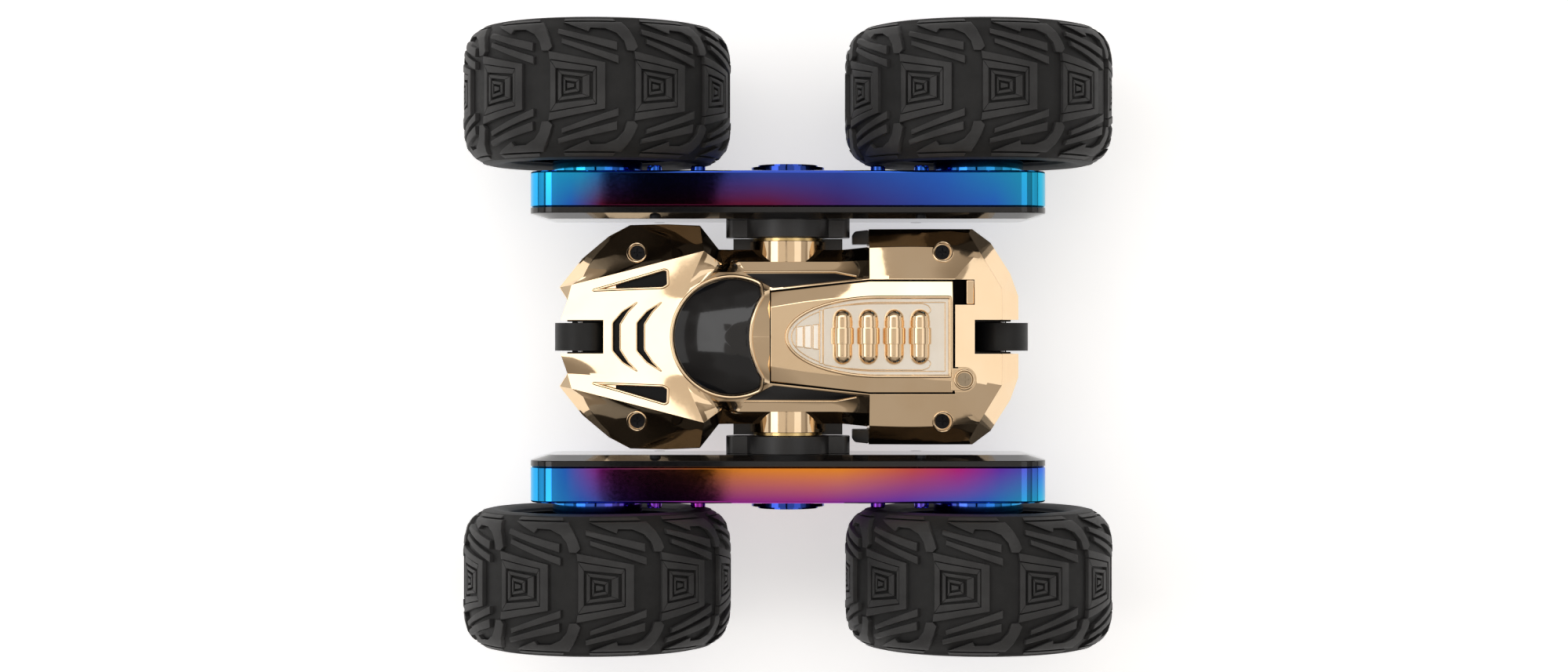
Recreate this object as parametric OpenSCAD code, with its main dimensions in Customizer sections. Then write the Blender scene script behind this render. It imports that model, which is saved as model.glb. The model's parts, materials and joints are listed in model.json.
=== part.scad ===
// Stunt car with two geared side arms that turn end over end about the middle of the body.
// Origin on the ground under the arm pivot: +X towards the nose, +Y to the car's left, +Z up.
// Body shapes are drawn in the pivot frame, whose zero height is the arm pivot.

/* [Wheels] */
// Outside diameter of a tyre
tyre_d = 102.5; // [100:0.5:106]
// Width of a tyre across its sidewalls
tyre_w = 52.5; // [48:0.5:56]
// Outside diameter of a rim's barrel
rim_d = 66; // [62:1:70]
// Thickness of a tyre's hollow carcass
tyre_wall = 2.6; // [2:0.1:3.2]
// Gap between an arm's outer face and the tyre
tyre_gap = 3; // [2.6:0.1:5]

/* [Arms] */
// Length of a side arm
arm_len = 195; // [193:1:200]
// Height of a side arm
arm_h = 48; // [47:0.5:52]
// Radius of a side arm's corners
arm_corner_r = 11; // [9:0.5:13]
// Distance from the middle of the car to an arm's inner face
arm_in = 44.5; // [44.5:0.1:45]
// Width of the black inner shell, up to the seam
inner_shell_w = 4.5; // [4:0.1:5]
// Full thickness of an arm
arm_t = 18; // [18:0.1:19]
// Wall of an arm's shells
arm_wall = 1.6; // [1.4:0.1:1.6]

/* [Gears] */
// Teeth on a motor pinion
pinion_teeth = 12; // [12:2:12]
// Teeth on a first gear's large wheel
first_large_teeth = 32; // [32:2:32]
// Teeth on a first gear's small wheel
first_small_teeth = 14; // [14:2:14]
// Teeth on a second gear's large wheel
second_large_teeth = 30; // [30:2:30]
// Teeth on a second gear's small wheel
second_small_teeth = 20; // [20:2:20]
// Teeth on an axle gear
axle_teeth = 38; // [38:2:38]
// Width of each gear's toothed face
gear_face = 3.5; // [3:0.1:3.6]

/* [Body] */
// Wall of the body's shells
body_wall = 1.8; // [1.6:0.1:2]
// Radius of the nose and tail rollers
roller_r = 10; // [9:0.1:10]
// Width of the nose and tail rollers
roller_w = 10.6; // [9:0.1:10.6]
// Radius of the tube that each arm turns on
pivot_r = 12.4; // [12.2:0.1:12.4]
// Radius of a motor's can
motor_r = 10; // [9:0.1:10]
// Radius of the intake stacks on the battery lid
stack_r = 3.75; // [3:0.05:4]

/* [Hidden] */
$fn = 48;
CUT = 0.1; // how far a cutting shape runs past a face
FIT = 0.05; // radial running clearance
SIDES = [1, -1]; // left, right
ENDS = [1, -1]; // front, rear
SIDE_NAME = ["left", "right"];
END_NAME = ["front", "rear"];

// Wheels and arms
axle_z = tyre_d / 2;
arm_out = arm_in + arm_t;
arm_seam = arm_in + inner_shell_w;
tyre_in = arm_out + tyre_gap;
tyre_out = tyre_in + tyre_w;
cavity_in = arm_in + arm_wall;
cavity_out = arm_out - arm_wall;
arm_edge_in = 7; // how far the inner face's bevel reaches in from the outline
arm_edge_out = 2.1; // and how deep it is
wheel_boss_r = 17.2;
wheel_boss_out = arm_out + 6.5;
axle_r = 2;
rim_wall = 1.6;
rim_in = tyre_in + 2.8;
rim_out = tyre_out - 3;
spoke_out = rim_out - 6;
spoke_t = 5;
spokes = 6;

// Gears: involute teeth of module 1 and 25 degrees, in three layers across an arm
gear_module = 1;
pressure_angle = 25;
backlash = 0.08;
layer = [for (i = [0:2]) cavity_in + 0.8 + i * (gear_face + 0.4)];
pin_r = 1.2;
pin_bore_r = 1.33; // a 12-sided bore around the round pin
first_x = gear_module * (pinion_teeth + first_large_teeth) / 2;
second_x = first_x + gear_module * (first_small_teeth + second_large_teeth) / 2;
axle_x = second_x + gear_module * (second_small_teeth + axle_teeth) / 2;
spacer_r = 3;

// Arm pivots, from the middle of the car outwards
hub_face = arm_in - 0.1; // where the pivot hub meets the arm
hub_in = arm_in - 6.6;
tube_in = 25.3;
collar_r = 17;
ear_reach = 23.6;
ear_h = 14;
flange_r = pivot_r + 0.9; // snap flange that keeps the hub in its bush
seat_in = 28;
seat_out = 36.4;
cradle_out = 37.5;
cradle_r = 20.9;
bush_r = pivot_r + 0.9;
boss_r = 14.6;
motor_in = 21;
motor_out = cavity_in - 0.2;
shaft_r = 1;
hub_screw_x = 18.9;
hub_screw_out = arm_in + 1.4;

// Body, in the pivot frame
belly = -27.25;
roller_x = [79.1, -81.8];
roller_h = 2;
roller_pin_r = 1.2;
roller_box_end = [83.5, -84.4]; // outer end of the pocket that holds each roller
slot_half = 6.4;
screw_x = [57.3, -58.4];
screw_y = 32;
screw_seat_h = [5.5, 12];
deck_h = 27.5;
lid_front = 6.8;
lid_rear = -62;
lid_t = 2;
lid_hinge = [lid_front - lid_t / 2, deck_h - lid_t / 2]; // axis of the lid's round front edge
lid_gap = 0.6;
lid_plan = [[lid_front, 16.9], [-30.5, 21.1], [lid_rear, 21.1]];
lid_screw = [-66, 16];
lid_tab_r = 4.2;
lid_seat_h = 23; // height of the post that the lid's tab rests on
latch_floor = 21;
tray_h = 4.7; // height of the battery tray's floor
cell_r = 7.25;
battery_x = [-59.6, -10.6];
panel_depth = 1.4;
stack_x = [for (i = [0:3]) -20.4 - 9.65 * i];
stack_len = 21;
band_len = 6.4;
canopy_x = 21;
canopy_r = 21.8;
canopy_top = 33;
canopy_dome_r = 40;
canopy_foot = 20.5;
strip_plan = [[15.7, 23.7], [-17.7, 23.7], [-25.7, 22.2], [-25.7, 21.9], [5, 18.4]];
hood_vent_plan = [[63.4, 12.2], [66.6, 5.6], [66.6, -5.6], [63.4, -12.2], [62.6, -5], [62.6, 5]];
fender_vent_plan = [[64.5, 20], [46, 25.2], [46, 19.4]];

// Half outlines of the body's blocks, mirrored in Y by both_sides()
front_half = [
    [86.4, 5, 0], [86.4, 5, 8.5], [83.7, 15, 0], [87.3, 18.8, 0], [87.3, 18.8, 4.5],
    [82.8, 25, 0], [78.3, 29.9, 0], [73.9, 33.8, 0], [68.2, 38.3, 0], [63.3, 41.4, 0],
    [58, 42.6, 0], [58, 42.6, 3], [33, 42.8, 0], [33, 42.8, 6], [26, 33, 0], [26, 33, 9],
    [33, 41, 12], [31.8, 32.5, 22.5], [84, 10, 10], [44, 19, 22.5]
];
mid_half = [
    [36, 32.6, 0], [36, 32.6, 8], [-38, 32.6, 0], [-38, 32.6, 8], [30, 24.5, 21.5],
    [-38, 24.5, 21.5], [28, 17, 28], [-38, 16.5, 26.3], [10, 14, 30.5], [24, 11, 30.5],
    [-38, 14, deck_h], [lid_front, 14, deck_h]
];
rear_half = [
    [-30.6, 40.6, 0], [-30.6, 40.6, 12], [-71, 40.6, 0], [-71, 40.6, 8], [-76.5, 35, 0],
    [-76.5, 35, 10], [-84, 23, 0], [-84, 23, 12], [-87.2, 16, 0], [-87.2, 16, 12],
    [-30.6, 37, 19], [-70, 37.5, 15], [-82, 17.5, 20.5], [-75, 31, 17], [-30.6, 21.2, 24.5],
    [-64, 21.2, 24.5], [-30.6, 14, deck_h], [lid_rear, 14, deck_h], [-70, 12, 24.5]
];
lower_front_half = [
    [84.6, 10, 0], [82, 17, 0], [80, 24, 0], [62, 40, 0], [34, 41.5, 0], [27, 32, 0],
    [84.6, 10, -8], [66, 24, belly], [66, 38, -14], [36, 39.5, -14], [29, 28, belly]
];
lower_mid_half = [[38, 32, 0], [-36, 32, 0], [38, 28, belly], [-36, 28, belly]];
lower_rear_half = [
    [-31.6, 39.4, 0], [-71, 39.4, 0], [-85.4, 15, 0], [-85.4, 12, -8], [-31.6, 37.5, -14],
    [-70, 37.5, -14], [-70, 24, belly], [-31.6, 28, belly]
];

function both_sides(half) = [for (p = half, s = SIDES) [p.x, s * p.y, p.z]];
function shrunk(half, inset) =
    let (
        x_max = max([for (p = half) p.x]),
        x_min = min([for (p = half) p.x]),
        mid_x = (x_max + x_min) / 2,
        reach = (x_max - x_min) / 2,
        width = max([for (p = half) p.y]),
        height = max([for (p = half) abs(p.z)])
    )
    [for (p = half) [
        mid_x + (p.x - mid_x) * (reach - inset) / reach,
        p.y * (width - inset) / width,
        p.z * (height - inset) / height
    ]];

// ---- helpers ----

// Extrudes a shape drawn in X and Z, from y0 to y1
module along_y(y0, y1) {
    translate([0, y1, 0]) rotate([90, 0, 0]) linear_extrude(y1 - y0) children();
}

// Extrudes a shape drawn in Y and Z, from x0 to x1
module along_x(x0, x1) {
    translate([x0, 0, 0]) rotate([90, 0, 90]) linear_extrude(x1 - x0) children();
}

module disc_y(r, y0, y1) { along_y(y0, y1) circle(r); }

// A rectangle with round corners, centred, made of exact arcs
module round_rect(w, h, r) {
    square([w - 2 * r, h], center = true);
    square([w, h - 2 * r], center = true);
    for (x = [-1, 1], y = [-1, 1]) translate([x * (w / 2 - r), y * (h / 2 - r)]) circle(r);
}

module box(x, y, z) {
    translate([x[0], y[0], z[0]]) cube([x[1] - x[0], y[1] - y[0], z[1] - z[0]]);
}

// The convex block around a half outline and its mirror image
module block(half) {
    points = both_sides(half);
    hull() polyhedron(points, [[for (i = [0:len(points) - 1]) i]]);
}

module on_side(s) { mirror([0, s < 0 ? 1 : 0, 0]) children(); }
module on_end(e) { mirror([e < 0 ? 1 : 0, 0, 0]) children(); }
module at_pivot() { translate([0, 0, axle_z]) children(); }

// ---- gears ----

function involute(a) = tan(a) - a * PI / 180;
function tooth_half_angle(teeth, r) =
    let (
        pitch = gear_module * teeth / 2,
        base = pitch * cos(pressure_angle),
        a = r > base ? acos(base / r) : 0
    )
    90 / teeth + (involute(pressure_angle) - involute(a) - backlash / pitch) * 180 / PI;

// Outline of a gear, with a tooth (turn = 0) or a gap (turn = 0.5) pointing along +X
function gear_outline(teeth, turn) =
    let (
        pitch = gear_module * teeth / 2,
        base = pitch * cos(pressure_angle),
        root = pitch - 1.22 * gear_module,
        tip = pitch + 0.93 * gear_module,
        rise = max(root + 0.05, base),
        radii = [root, for (i = [0:4]) rise + (tip - rise) * i / 4]
    )
    [for (k = [0:teeth - 1], s = [-1, 1], i = [0:5])
        let (
            r = radii[s < 0 ? i : 5 - i],
            a = 360 * (k + turn) / teeth + s * tooth_half_angle(teeth, r)
        )
        r * [cos(a), sin(a)]
    ];

module gear(teeth, turn, y0, bore_r) {
    along_y(y0, y0 + gear_face) difference() {
        polygon(gear_outline(teeth, turn));
        circle(bore_r, $fn = 12);
    }
}

// A flat-sided ring between or beside the wheels of a gear
module spacer(r, y0, y1, bore_r) {
    along_y(y0, y1) difference() {
        circle(r, $fn = 12);
        circle(bore_r, $fn = 12);
    }
}

// The motor's shaft with the pinion pressed on it
module pinion(s) {
    color("gold") at_pivot() on_side(s) {
        gear(pinion_teeth, 0, layer[0], shaft_r / 2);
        along_y(motor_in + 4, layer[0] + gear_face + 1.5) circle(shaft_r, $fn = 12);
    }
}

module first_gear(e, s) {
    color("white") at_pivot() on_side(s) on_end(e) translate([first_x, 0, 0]) {
        gear(first_large_teeth, 0.5, layer[0], pin_bore_r);
        spacer(5, layer[0] + gear_face, layer[1], pin_bore_r);
        gear(first_small_teeth, 0, layer[1], pin_bore_r);
        spacer(spacer_r, layer[1] + gear_face, cavity_out - 0.3, pin_bore_r);
    }
}

module second_gear(e, s) {
    color("ivory") at_pivot() on_side(s) on_end(e) translate([second_x, 0, 0]) {
        spacer(spacer_r, cavity_in + 0.3, layer[1], pin_bore_r);
        gear(second_large_teeth, 0.5, layer[1], pin_bore_r);
        spacer(5, layer[1] + gear_face, layer[2], pin_bore_r);
        gear(second_small_teeth, 0, layer[2], pin_bore_r);
        spacer(spacer_r, layer[2] + gear_face, cavity_out - 0.3, pin_bore_r);
    }
}

module axle_gear(e, s) {
    bore_r = axle_r + 0.12;
    color("white") at_pivot() on_side(s) on_end(e) translate([axle_x, 0, 0]) {
        spacer(5, cavity_in + 0.3, layer[2], bore_r);
        gear(axle_teeth, 0.5, layer[2], bore_r);
        spacer(5, layer[2] + gear_face, cavity_out - 0.3, bore_r);
    }
}

module gear_pins(s) {
    color("silver") at_pivot() on_side(s) for (e = ENDS, x = [first_x, second_x])
        translate([e * x, 0, 0]) disc_y(pin_r, arm_in + 0.5, arm_out - 0.5);
}

// ---- wheels ----

module wheel_axle(e, s) {
    color("silver") at_pivot() on_side(s) translate([e * axle_x, 0, 0])
        disc_y(axle_r, arm_in + 0.5, rim_out - 3);
}

module spoke_plan() {
    inner = rim_d / 2 - rim_wall;
    for (i = [0:spokes - 1]) rotate(360 / spokes * i)
        polygon([[4, -3.2], [inner + 0.6, -5.4], [inner + 0.6, 5.4], [4, 3.2]]);
}

module rim(e, s) {
    r = rim_d / 2;
    color("royalblue") at_pivot() on_side(s) translate([e * axle_x, 0, 0]) difference() {
        union() {
            difference() {
                disc_y(r, rim_in, rim_out);
                disc_y(r - rim_wall, rim_in - CUT, rim_out + CUT);
            }
            along_y(spoke_out - spoke_t, spoke_out) spoke_plan();
            disc_y(7.5, wheel_boss_out + 1, spoke_out + 1);
        }
        disc_y(axle_r + FIT, rim_in - 6, rim_out - 2.9);
    }
}

// Half of a tyre's section: distance out from its mid-plane, then radius
module tyre_section() {
    w = tyre_w / 2;
    r = tyre_d / 2;
    bead = rim_d / 2 + 0.05;
    t = tyre_wall;
    side = [
        [w * 0.42, r - 0.35], [w * 0.72, r - 1.6], [w * 0.88, r - 4.2], [w, r - 11],
        [w * 0.98, r - 14], [w * 0.9, bead + 1], [w * 0.88, bead]
    ];
    inner = [
        [w * 0.88 - 3, bead], [w * 0.9 - 3, bead + 2], [w - t, r - 13], [w * 0.86 - t, r - 6],
        [w * 0.66, r - 1.6 - t], [w * 0.3, r - 0.35 - t]
    ];
    flip = [for (p = inner) [-p[0], p[1]]];
    flop = [for (p = side) [-p[0], p[1]]];
    polygon(concat(
        side, inner,
        [for (i = [len(flip) - 1:-1:0]) flip[i]],
        [for (i = [len(flop) - 1:-1:0]) flop[i]],
        [[-w * 0.15, r], [w * 0.15, r]]
    ));
}

module tyre(e, s) {
    color([0.15, 0.15, 0.15]) at_pivot() translate([e * axle_x, s * (tyre_in + tyre_out) / 2, 0])
        rotate([90, 0, 0]) rotate_extrude() rotate(-90) tyre_section();
}

// ---- arms ----

module arm_plan(inset) {
    round_rect(arm_len - 2 * inset, arm_h - 2 * inset, arm_corner_r - inset);
}

// Bosses on an arm's outer face that look like bolt heads
module bolt_bosses() {
    for (x = [34, 50.5], e = ENDS, z = [-14, 14])
        translate([e * x, 0, z]) disc_y(2.8, arm_out - CUT, arm_out + 2.2);
}

module arm_outer_shell(s) {
    color([0.1, 0.25, 0.7]) at_pivot() on_side(s) difference() {
        union() {
            along_y(arm_seam, arm_out) arm_plan(0);
            bolt_bosses();
            for (e = ENDS) translate([e * axle_x, 0, 0])
                disc_y(wheel_boss_r, arm_out - CUT, wheel_boss_out);
        }
        difference() {
            along_y(arm_seam - CUT, cavity_out) arm_plan(arm_wall);
            for (p = arm_screw_places()) translate([p[0], 0, p[1]]) disc_y(2.6, arm_seam, arm_out);
        }
        for (e = ENDS) translate([e * axle_x, 0, 0]) {
            difference() {
                disc_y(wheel_boss_r - arm_wall, cavity_out - CUT, wheel_boss_out - arm_wall);
                disc_y(4.5, cavity_out - 1, wheel_boss_out);
            }
            disc_y(axle_r + FIT, arm_seam, wheel_boss_out + CUT);
        }
        for (e = ENDS, x = [first_x, second_x]) translate([e * x, 0, 0])
            disc_y(pin_r + 0.03, cavity_out - CUT, arm_out - 0.5);
        for (p = arm_screw_places()) translate([p[0], 0, p[1]])
            disc_y(1.05, arm_seam - CUT, arm_out - 3);
    }
}

// Screws that close an arm, put in from its inner face
function arm_screw_places() = [for (x = [-50, 50], z = [-1, 1]) [x, z * (arm_h / 2 - 5)]];

module arm_inner_shell(s) {
    half_h = arm_h / 2;
    half_l = arm_len / 2;
    color([0.08, 0.08, 0.08]) at_pivot() on_side(s) difference() {
        intersection() {
            along_y(arm_in, arm_seam) arm_plan(0);
            along_x(-half_l, half_l) polygon([
                [arm_in, half_h - arm_edge_in], [arm_in + arm_edge_out, half_h],
                [arm_seam + 1, half_h], [arm_seam + 1, -half_h],
                [arm_in + arm_edge_out, -half_h], [arm_in, arm_edge_in - half_h]
            ]);
            translate([0, 0, -half_h]) linear_extrude(arm_h) polygon([
                [half_l - arm_edge_in, arm_in], [half_l, arm_in + arm_edge_out],
                [half_l, arm_seam + 1], [-half_l, arm_seam + 1],
                [-half_l, arm_in + arm_edge_out], [arm_edge_in - half_l, arm_in]
            ]);
        }
        difference() {
            along_y(cavity_in, arm_seam + CUT) arm_plan(arm_edge_in - 1.6);
            for (p = arm_screw_places()) translate([p[0], 0, p[1]]) disc_y(3.4, arm_in, arm_seam);
        }
        disc_y(motor_r + 0.2, arm_in - CUT, arm_seam);
        for (e = ENDS) translate([e * axle_x, 0, 0])
            disc_y(axle_r + FIT, arm_in + 0.4, arm_seam);
        for (e = ENDS, x = [first_x, second_x]) translate([e * x, 0, 0])
            disc_y(pin_r + 0.03, arm_in + 0.5, arm_seam);
        for (p = arm_screw_places()) translate([p[0], 0, p[1]]) {
            disc_y(1.2, arm_in - CUT, arm_seam + CUT);
            disc_y(2.3, arm_in - CUT, arm_in + 1.4);
        }
        for (e = ENDS) translate([e * hub_screw_x, 0, 0])
            disc_y(1.05, arm_in - CUT, hub_screw_out + 0.05);
    }
}

// The screws that close an arm, and the two that fix its pivot hub
module arm_screws(s) {
    color("dimgray") at_pivot() on_side(s) {
        for (p = arm_screw_places()) translate([p[0], 0, p[1]]) {
            disc_y(2.1, arm_in, arm_in + 1.4);
            disc_y(1, arm_in + 1.3, arm_out - 4);
        }
        for (e = ENDS) translate([e * hub_screw_x, 0, 0]) {
            disc_y(2.2, hub_in + 0.1, hub_in + 1.6);
            disc_y(1, hub_in + 1.5, hub_screw_out);
        }
    }
}

module arm_cap(s) {
    color([0.1, 0.4, 0.8]) at_pivot() on_side(s) {
        disc_y(14, arm_out, arm_out + 2.2);
        disc_y(11.5, arm_out + 2.1, arm_out + 3);
    }
}

// Collar, tube and snap flange that one arm turns on, around its motor
module pivot_hub(s) {
    color([0.1, 0.1, 0.1]) at_pivot() on_side(s) difference() {
        union() {
            disc_y(collar_r, hub_in, hub_face);
            along_y(hub_in, hub_face) round_rect(2 * ear_reach, ear_h, 3);
            disc_y(pivot_r, tube_in, hub_face);
            disc_y(flange_r, tube_in, tube_in + 2.2);
        }
        disc_y(motor_r + 0.2, tube_in - CUT, hub_face + CUT);
        for (e = ENDS) translate([e * hub_screw_x, 0, 0]) {
            disc_y(1.15, hub_in - CUT, hub_face + CUT);
            disc_y(2.4, hub_in - CUT, hub_in + 1.6);
        }
    }
}

// A vented can around a core that the shaft turns in
module motor(s) {
    color("silver") at_pivot() on_side(s) {
        difference() {
            disc_y(motor_r, motor_in, motor_out);
            difference() {
                union() {
                    disc_y(motor_r - 1, motor_in + 2, motor_out - 2);
                    box([-3, 3], [motor_in + 5, motor_in + 11], [-motor_r - 1, motor_r + 1]);
                }
                disc_y(4, motor_in, motor_out);
            }
            disc_y(shaft_r + FIT, motor_in + 3.5, motor_out + CUT);
        }
    }
}

// ---- body ----

// Holes through the upper shell, and the pockets for the lid's tab and latch
module shell_openings() {
    side = [for (p = lid_plan) [p.x, p.y + 0.4]];
    bay = [side[0] + [0.4, 0], side[1], side[2] - [lid_gap, 0]];
    translate([0, 0, 14]) linear_extrude(40)
        polygon(concat(bay, [for (i = [2:-1:0]) [bay[i].x, -bay[i].y]]));
    translate([0, 0, lid_seat_h]) linear_extrude(20) {
        translate(lid_screw) circle(lid_tab_r + 0.6);
        translate([lid_screw.x, lid_screw.y - lid_tab_r - 0.5]) square([8, 2 * lid_tab_r + 1]);
    }
    translate([lid_screw.x, lid_screw.y, 11]) cylinder(r = 1.7, h = 20);
    translate([0, 0, latch_floor]) linear_extrude(20) translate([-70, -21.5]) square([8, 9.6]);
    translate([0, 0, canopy_foot - 2]) linear_extrude(40) canopy_plan(0.15);
    linear_extrude(60) {
        hood_vent_pair();
        fender_vent_pair();
    }
    for (i = [0, 1]) roller_slot(i, slot_half);
}

module hood_vent_pair() {
    for (dx = [0, -9.2]) translate([dx, 0]) polygon(hood_vent_plan);
}

module fender_vent_pair() {
    for (s = SIDES) polygon([for (p = fender_vent_plan) [p.x, s * p.y]]);
}

// Slot that a roller turns in, open at its end of the body
module roller_slot(i, half) {
    e = ENDS[i];
    back = roller_x[i] - e * (roller_r + 0.6);
    box([min(back, e * 95), max(back, e * 95)], [-half, half], [roller_h - roller_r - 1.2, 40]);
}

module canopy_plan(grow) {
    difference() {
        intersection() {
            translate([canopy_x, 0]) circle(canopy_r + grow);
            polygon([
                [50, 24], [24, 22.4 + grow], [10 - grow, 15.7 + grow],
                [10 - grow, -15.7 - grow], [24, -22.4 - grow], [50, -24]
            ]);
        }
        translate([-14.6, 0]) circle(29.3 - grow);
    }
}

// Screw posts inside the upper shell, with the seats for the lid's tab and latch
module upper_posts() {
    for (i = [0, 1], s = SIDES) translate([screw_x[i], s * screw_y, 0])
        cylinder(r = 4.6, h = screw_seat_h[i] + 2);
    translate([lid_screw.x, lid_screw.y, 12]) cylinder(r = lid_tab_r + 1.8, h = lid_seat_h - 11.4);
    box([-71, -60], [-22.5, -11], [latch_floor - 2.5, latch_floor]);
}

module upper_shell() {
    color([0.85, 0.65, 0.35]) at_pivot() difference() {
        union() {
            difference() {
                union() {
                    block(front_half);
                    block(mid_half);
                    block(rear_half);
                }
                translate([0, 0, -CUT]) {
                    block(shrunk(front_half, body_wall));
                    block(shrunk(mid_half, body_wall));
                    block(shrunk(rear_half, body_wall));
                }
            }
            upper_posts();
            for (s = SIDES) on_side(s) disc_y(boss_r, seat_in, seat_out);
        }
        box([-60, 60], [-45, 45], [-30, 0]);
        for (s = SIDES) on_side(s) disc_y(bush_r + FIT, seat_in - 6, seat_out + 1);
        for (i = [0, 1], s = SIDES) translate([screw_x[i], s * screw_y, 0]) {
            translate([0, 0, screw_seat_h[i]]) cylinder(r = 3.4, h = 40);
            translate([0, 0, -CUT]) cylinder(r = 1.5, h = 40);
        }
        shell_openings();
        difference() {
            translate([0, 0, 14]) linear_extrude(20) for (s = SIDES)
                polygon([for (p = strip_plan) [p.x, s * p.y]]);
            translate([0, 0, -1.2]) block(mid_half);
        }
    }
}

module side_strips() {
    color([0.05, 0.05, 0.05]) at_pivot() intersection() {
        translate([0, 0, 14]) linear_extrude(20) for (s = SIDES)
            polygon([for (p = strip_plan) [p.x, s * p.y]]);
        difference() {
            block(mid_half);
            translate([0, 0, -1.15]) block(mid_half);
        }
    }
}

// A shallow dome with a skirt that drops into the shell's opening
module canopy() {
    dome = [canopy_x, 0, canopy_top - canopy_dome_r];
    color([0.05, 0.05, 0.05]) at_pivot() difference() {
        intersection() {
            translate(dome) sphere(canopy_dome_r);
            translate([0, 0, canopy_foot]) linear_extrude(40) canopy_plan(0);
        }
        intersection() {
            translate(dome - [0, 0, 2]) sphere(canopy_dome_r);
            translate([0, 0, canopy_foot - 1]) linear_extrude(40) canopy_plan(-1.6);
        }
    }
}

module hood_vents() {
    color([0.06, 0.06, 0.06]) at_pivot() intersection() {
        linear_extrude(60) hood_vent_pair();
        difference() {
            translate([0, 0, -1]) block(front_half);
            translate([0, 0, -2.2]) block(front_half);
        }
    }
}

module fender_vents() {
    color([0.06, 0.06, 0.06]) at_pivot() intersection() {
        linear_extrude(60) fender_vent_pair();
        difference() {
            translate([0, 0, -1]) block(front_half);
            translate([0, 0, -2.2]) block(front_half);
        }
    }
}

// Pocket around a roller, with the two ears that hold its pin
module roller_box(i) {
    e = ENDS[i];
    back = roller_x[i] - e * (roller_r + 2.4);
    end = roller_box_end[i];
    along_y(-8, 8) polygon([
        [back, -14], [end - e * 5.5, -14], [end, -8.5], [end, roller_h + 3.6], [back, roller_h + 3.6]
    ]);
}

module lower_shell() {
    inside = [0, 0, CUT];
    color([0.1, 0.1, 0.1]) at_pivot() difference() {
        union() {
            difference() {
                union() {
                    block(lower_front_half);
                    block(lower_mid_half);
                    block(lower_rear_half);
                }
                translate(inside) {
                    block(shrunk(lower_front_half, body_wall));
                    block(shrunk(lower_mid_half, body_wall));
                    block(shrunk(lower_rear_half, body_wall));
                }
            }
            for (s = SIDES) on_side(s) difference() {
                disc_y(cradle_r, seat_in, cradle_out);
                box([-30, 30], [seat_in - 1, cradle_out + 1], [0, 30]);
            }
            for (i = [0, 1], s = SIDES) translate([screw_x[i], s * screw_y, -14])
                cylinder(r = 4, h = 13.9);
            for (i = [0, 1]) roller_box(i);
            // battery tray on two ribs, standoffs under the board, pad around the switch
            for (x = [-54, -22]) box([x, x + 3], [-15, 15], [belly + 1, tray_h]);
            box([battery_x[0] - 2, battery_x[1] + 2], [-16.4, 16.4], [tray_h - 1.5, tray_h]);
            for (x = [battery_x[0] - 2, battery_x[1] + 0.3])
                box([x, x + 1.7], [-16.4, 16.4], [tray_h - 1, tray_h + 6]);
            for (x = [18, 54], s = SIDES) translate([x, s * 16, belly + 1])
                cylinder(r = 2.5, h = 4.2);
            box([-11, 11], [-7.5, 7.5], [belly + 1, belly + 4]);
        }
        for (s = SIDES) on_side(s) disc_y(bush_r + FIT, seat_in - 6, cradle_out + 1);
        for (i = [0, 1], s = SIDES) translate([screw_x[i], s * screw_y, -12])
            cylinder(r = 1.25, h = 13);
        for (i = [0, 1]) {
            roller_slot(i, roller_w / 2 + 0.5);
            translate([roller_x[i], 0, roller_h]) disc_y(roller_pin_r + 0.02, -9, 9);
        }
        box([-8.5, 8.5], [-5, 5], [belly - 1, belly + 2]);
        box([-3.7, 3.7], [-1.8, 1.8], [belly, belly + 5]);
    }
}

module roller(i) {
    color([0.13, 0.13, 0.13]) at_pivot() translate([roller_x[i], 0, roller_h]) difference() {
        disc_y(roller_r, -roller_w / 2, roller_w / 2);
        disc_y(roller_pin_r + FIT, -roller_w, roller_w);
    }
}

module roller_pins() {
    color("silver") at_pivot() for (x = roller_x) translate([x, 0, roller_h])
        disc_y(roller_pin_r, -7.8, 7.8);
}

module pivot_bushes() {
    color("goldenrod") at_pivot() for (s = SIDES) on_side(s) difference() {
        disc_y(bush_r, seat_in, cradle_out);
        disc_y(pivot_r + FIT, seat_in - 1, cradle_out + 1);
    }
}

module body_screws() {
    color("dimgray") at_pivot() for (i = [0, 1], s = SIDES)
        translate([screw_x[i], s * screw_y, 0]) {
            difference() {
                translate([0, 0, screw_seat_h[i]]) cylinder(r = 2.8, h = 1.8);
                translate([0, 0, screw_seat_h[i] + 0.9])
                    for (a = [0, 90]) rotate(a) translate([-1.6, -0.3, 0]) cube([3.2, 0.6, 2]);
            }
            translate([0, 0, -11]) cylinder(r = 1.2, h = screw_seat_h[i] + 11.1);
        }
}

// Two round cells side by side in a sleeve
module battery_pack() {
    x = battery_x;
    color("royalblue") at_pivot() translate([0, 0, tray_h + FIT + cell_r]) {
        for (s = SIDES) translate([0, s * cell_r, 0]) along_x(x[0], x[1]) circle(cell_r);
        box(x, [-cell_r, cell_r], [-cell_r, cell_r]);
    }
}

module circuit_board() {
    top = belly + 6.8;
    color("green") at_pivot() {
        box([14, 60], [-20, 20], [top - 1.6, top]);
        for (x = [22, 36]) box([x, x + 8], [-4, 4], [top, top + 1.4]);
        for (s = SIDES) translate([50, s * 12, top]) cylinder(r = 4, h = 9);
        box([46, 52], [-4, 4], [top, top + 6]);
    }
}

module switch_housing() {
    color("dimgray") at_pivot() difference() {
        box([-6.5, 6.5], [-3.5, 3.5], [belly + 4.05, belly + 9]);
        box([-3.7, 3.7], [-1.8, 1.8], [belly + 4, belly + 6.5]);
    }
}

module switch_knob() {
    color([0.2, 0.2, 0.2]) at_pivot() {
        box([-3.2, -0.2], [-1.5, 1.5], [belly + 1.7, belly + 6]);
        box([-4, 0.6], [-2.4, 2.4], [belly + 0.6, belly + 1.8]);
    }
}

// ---- battery lid ----

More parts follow.
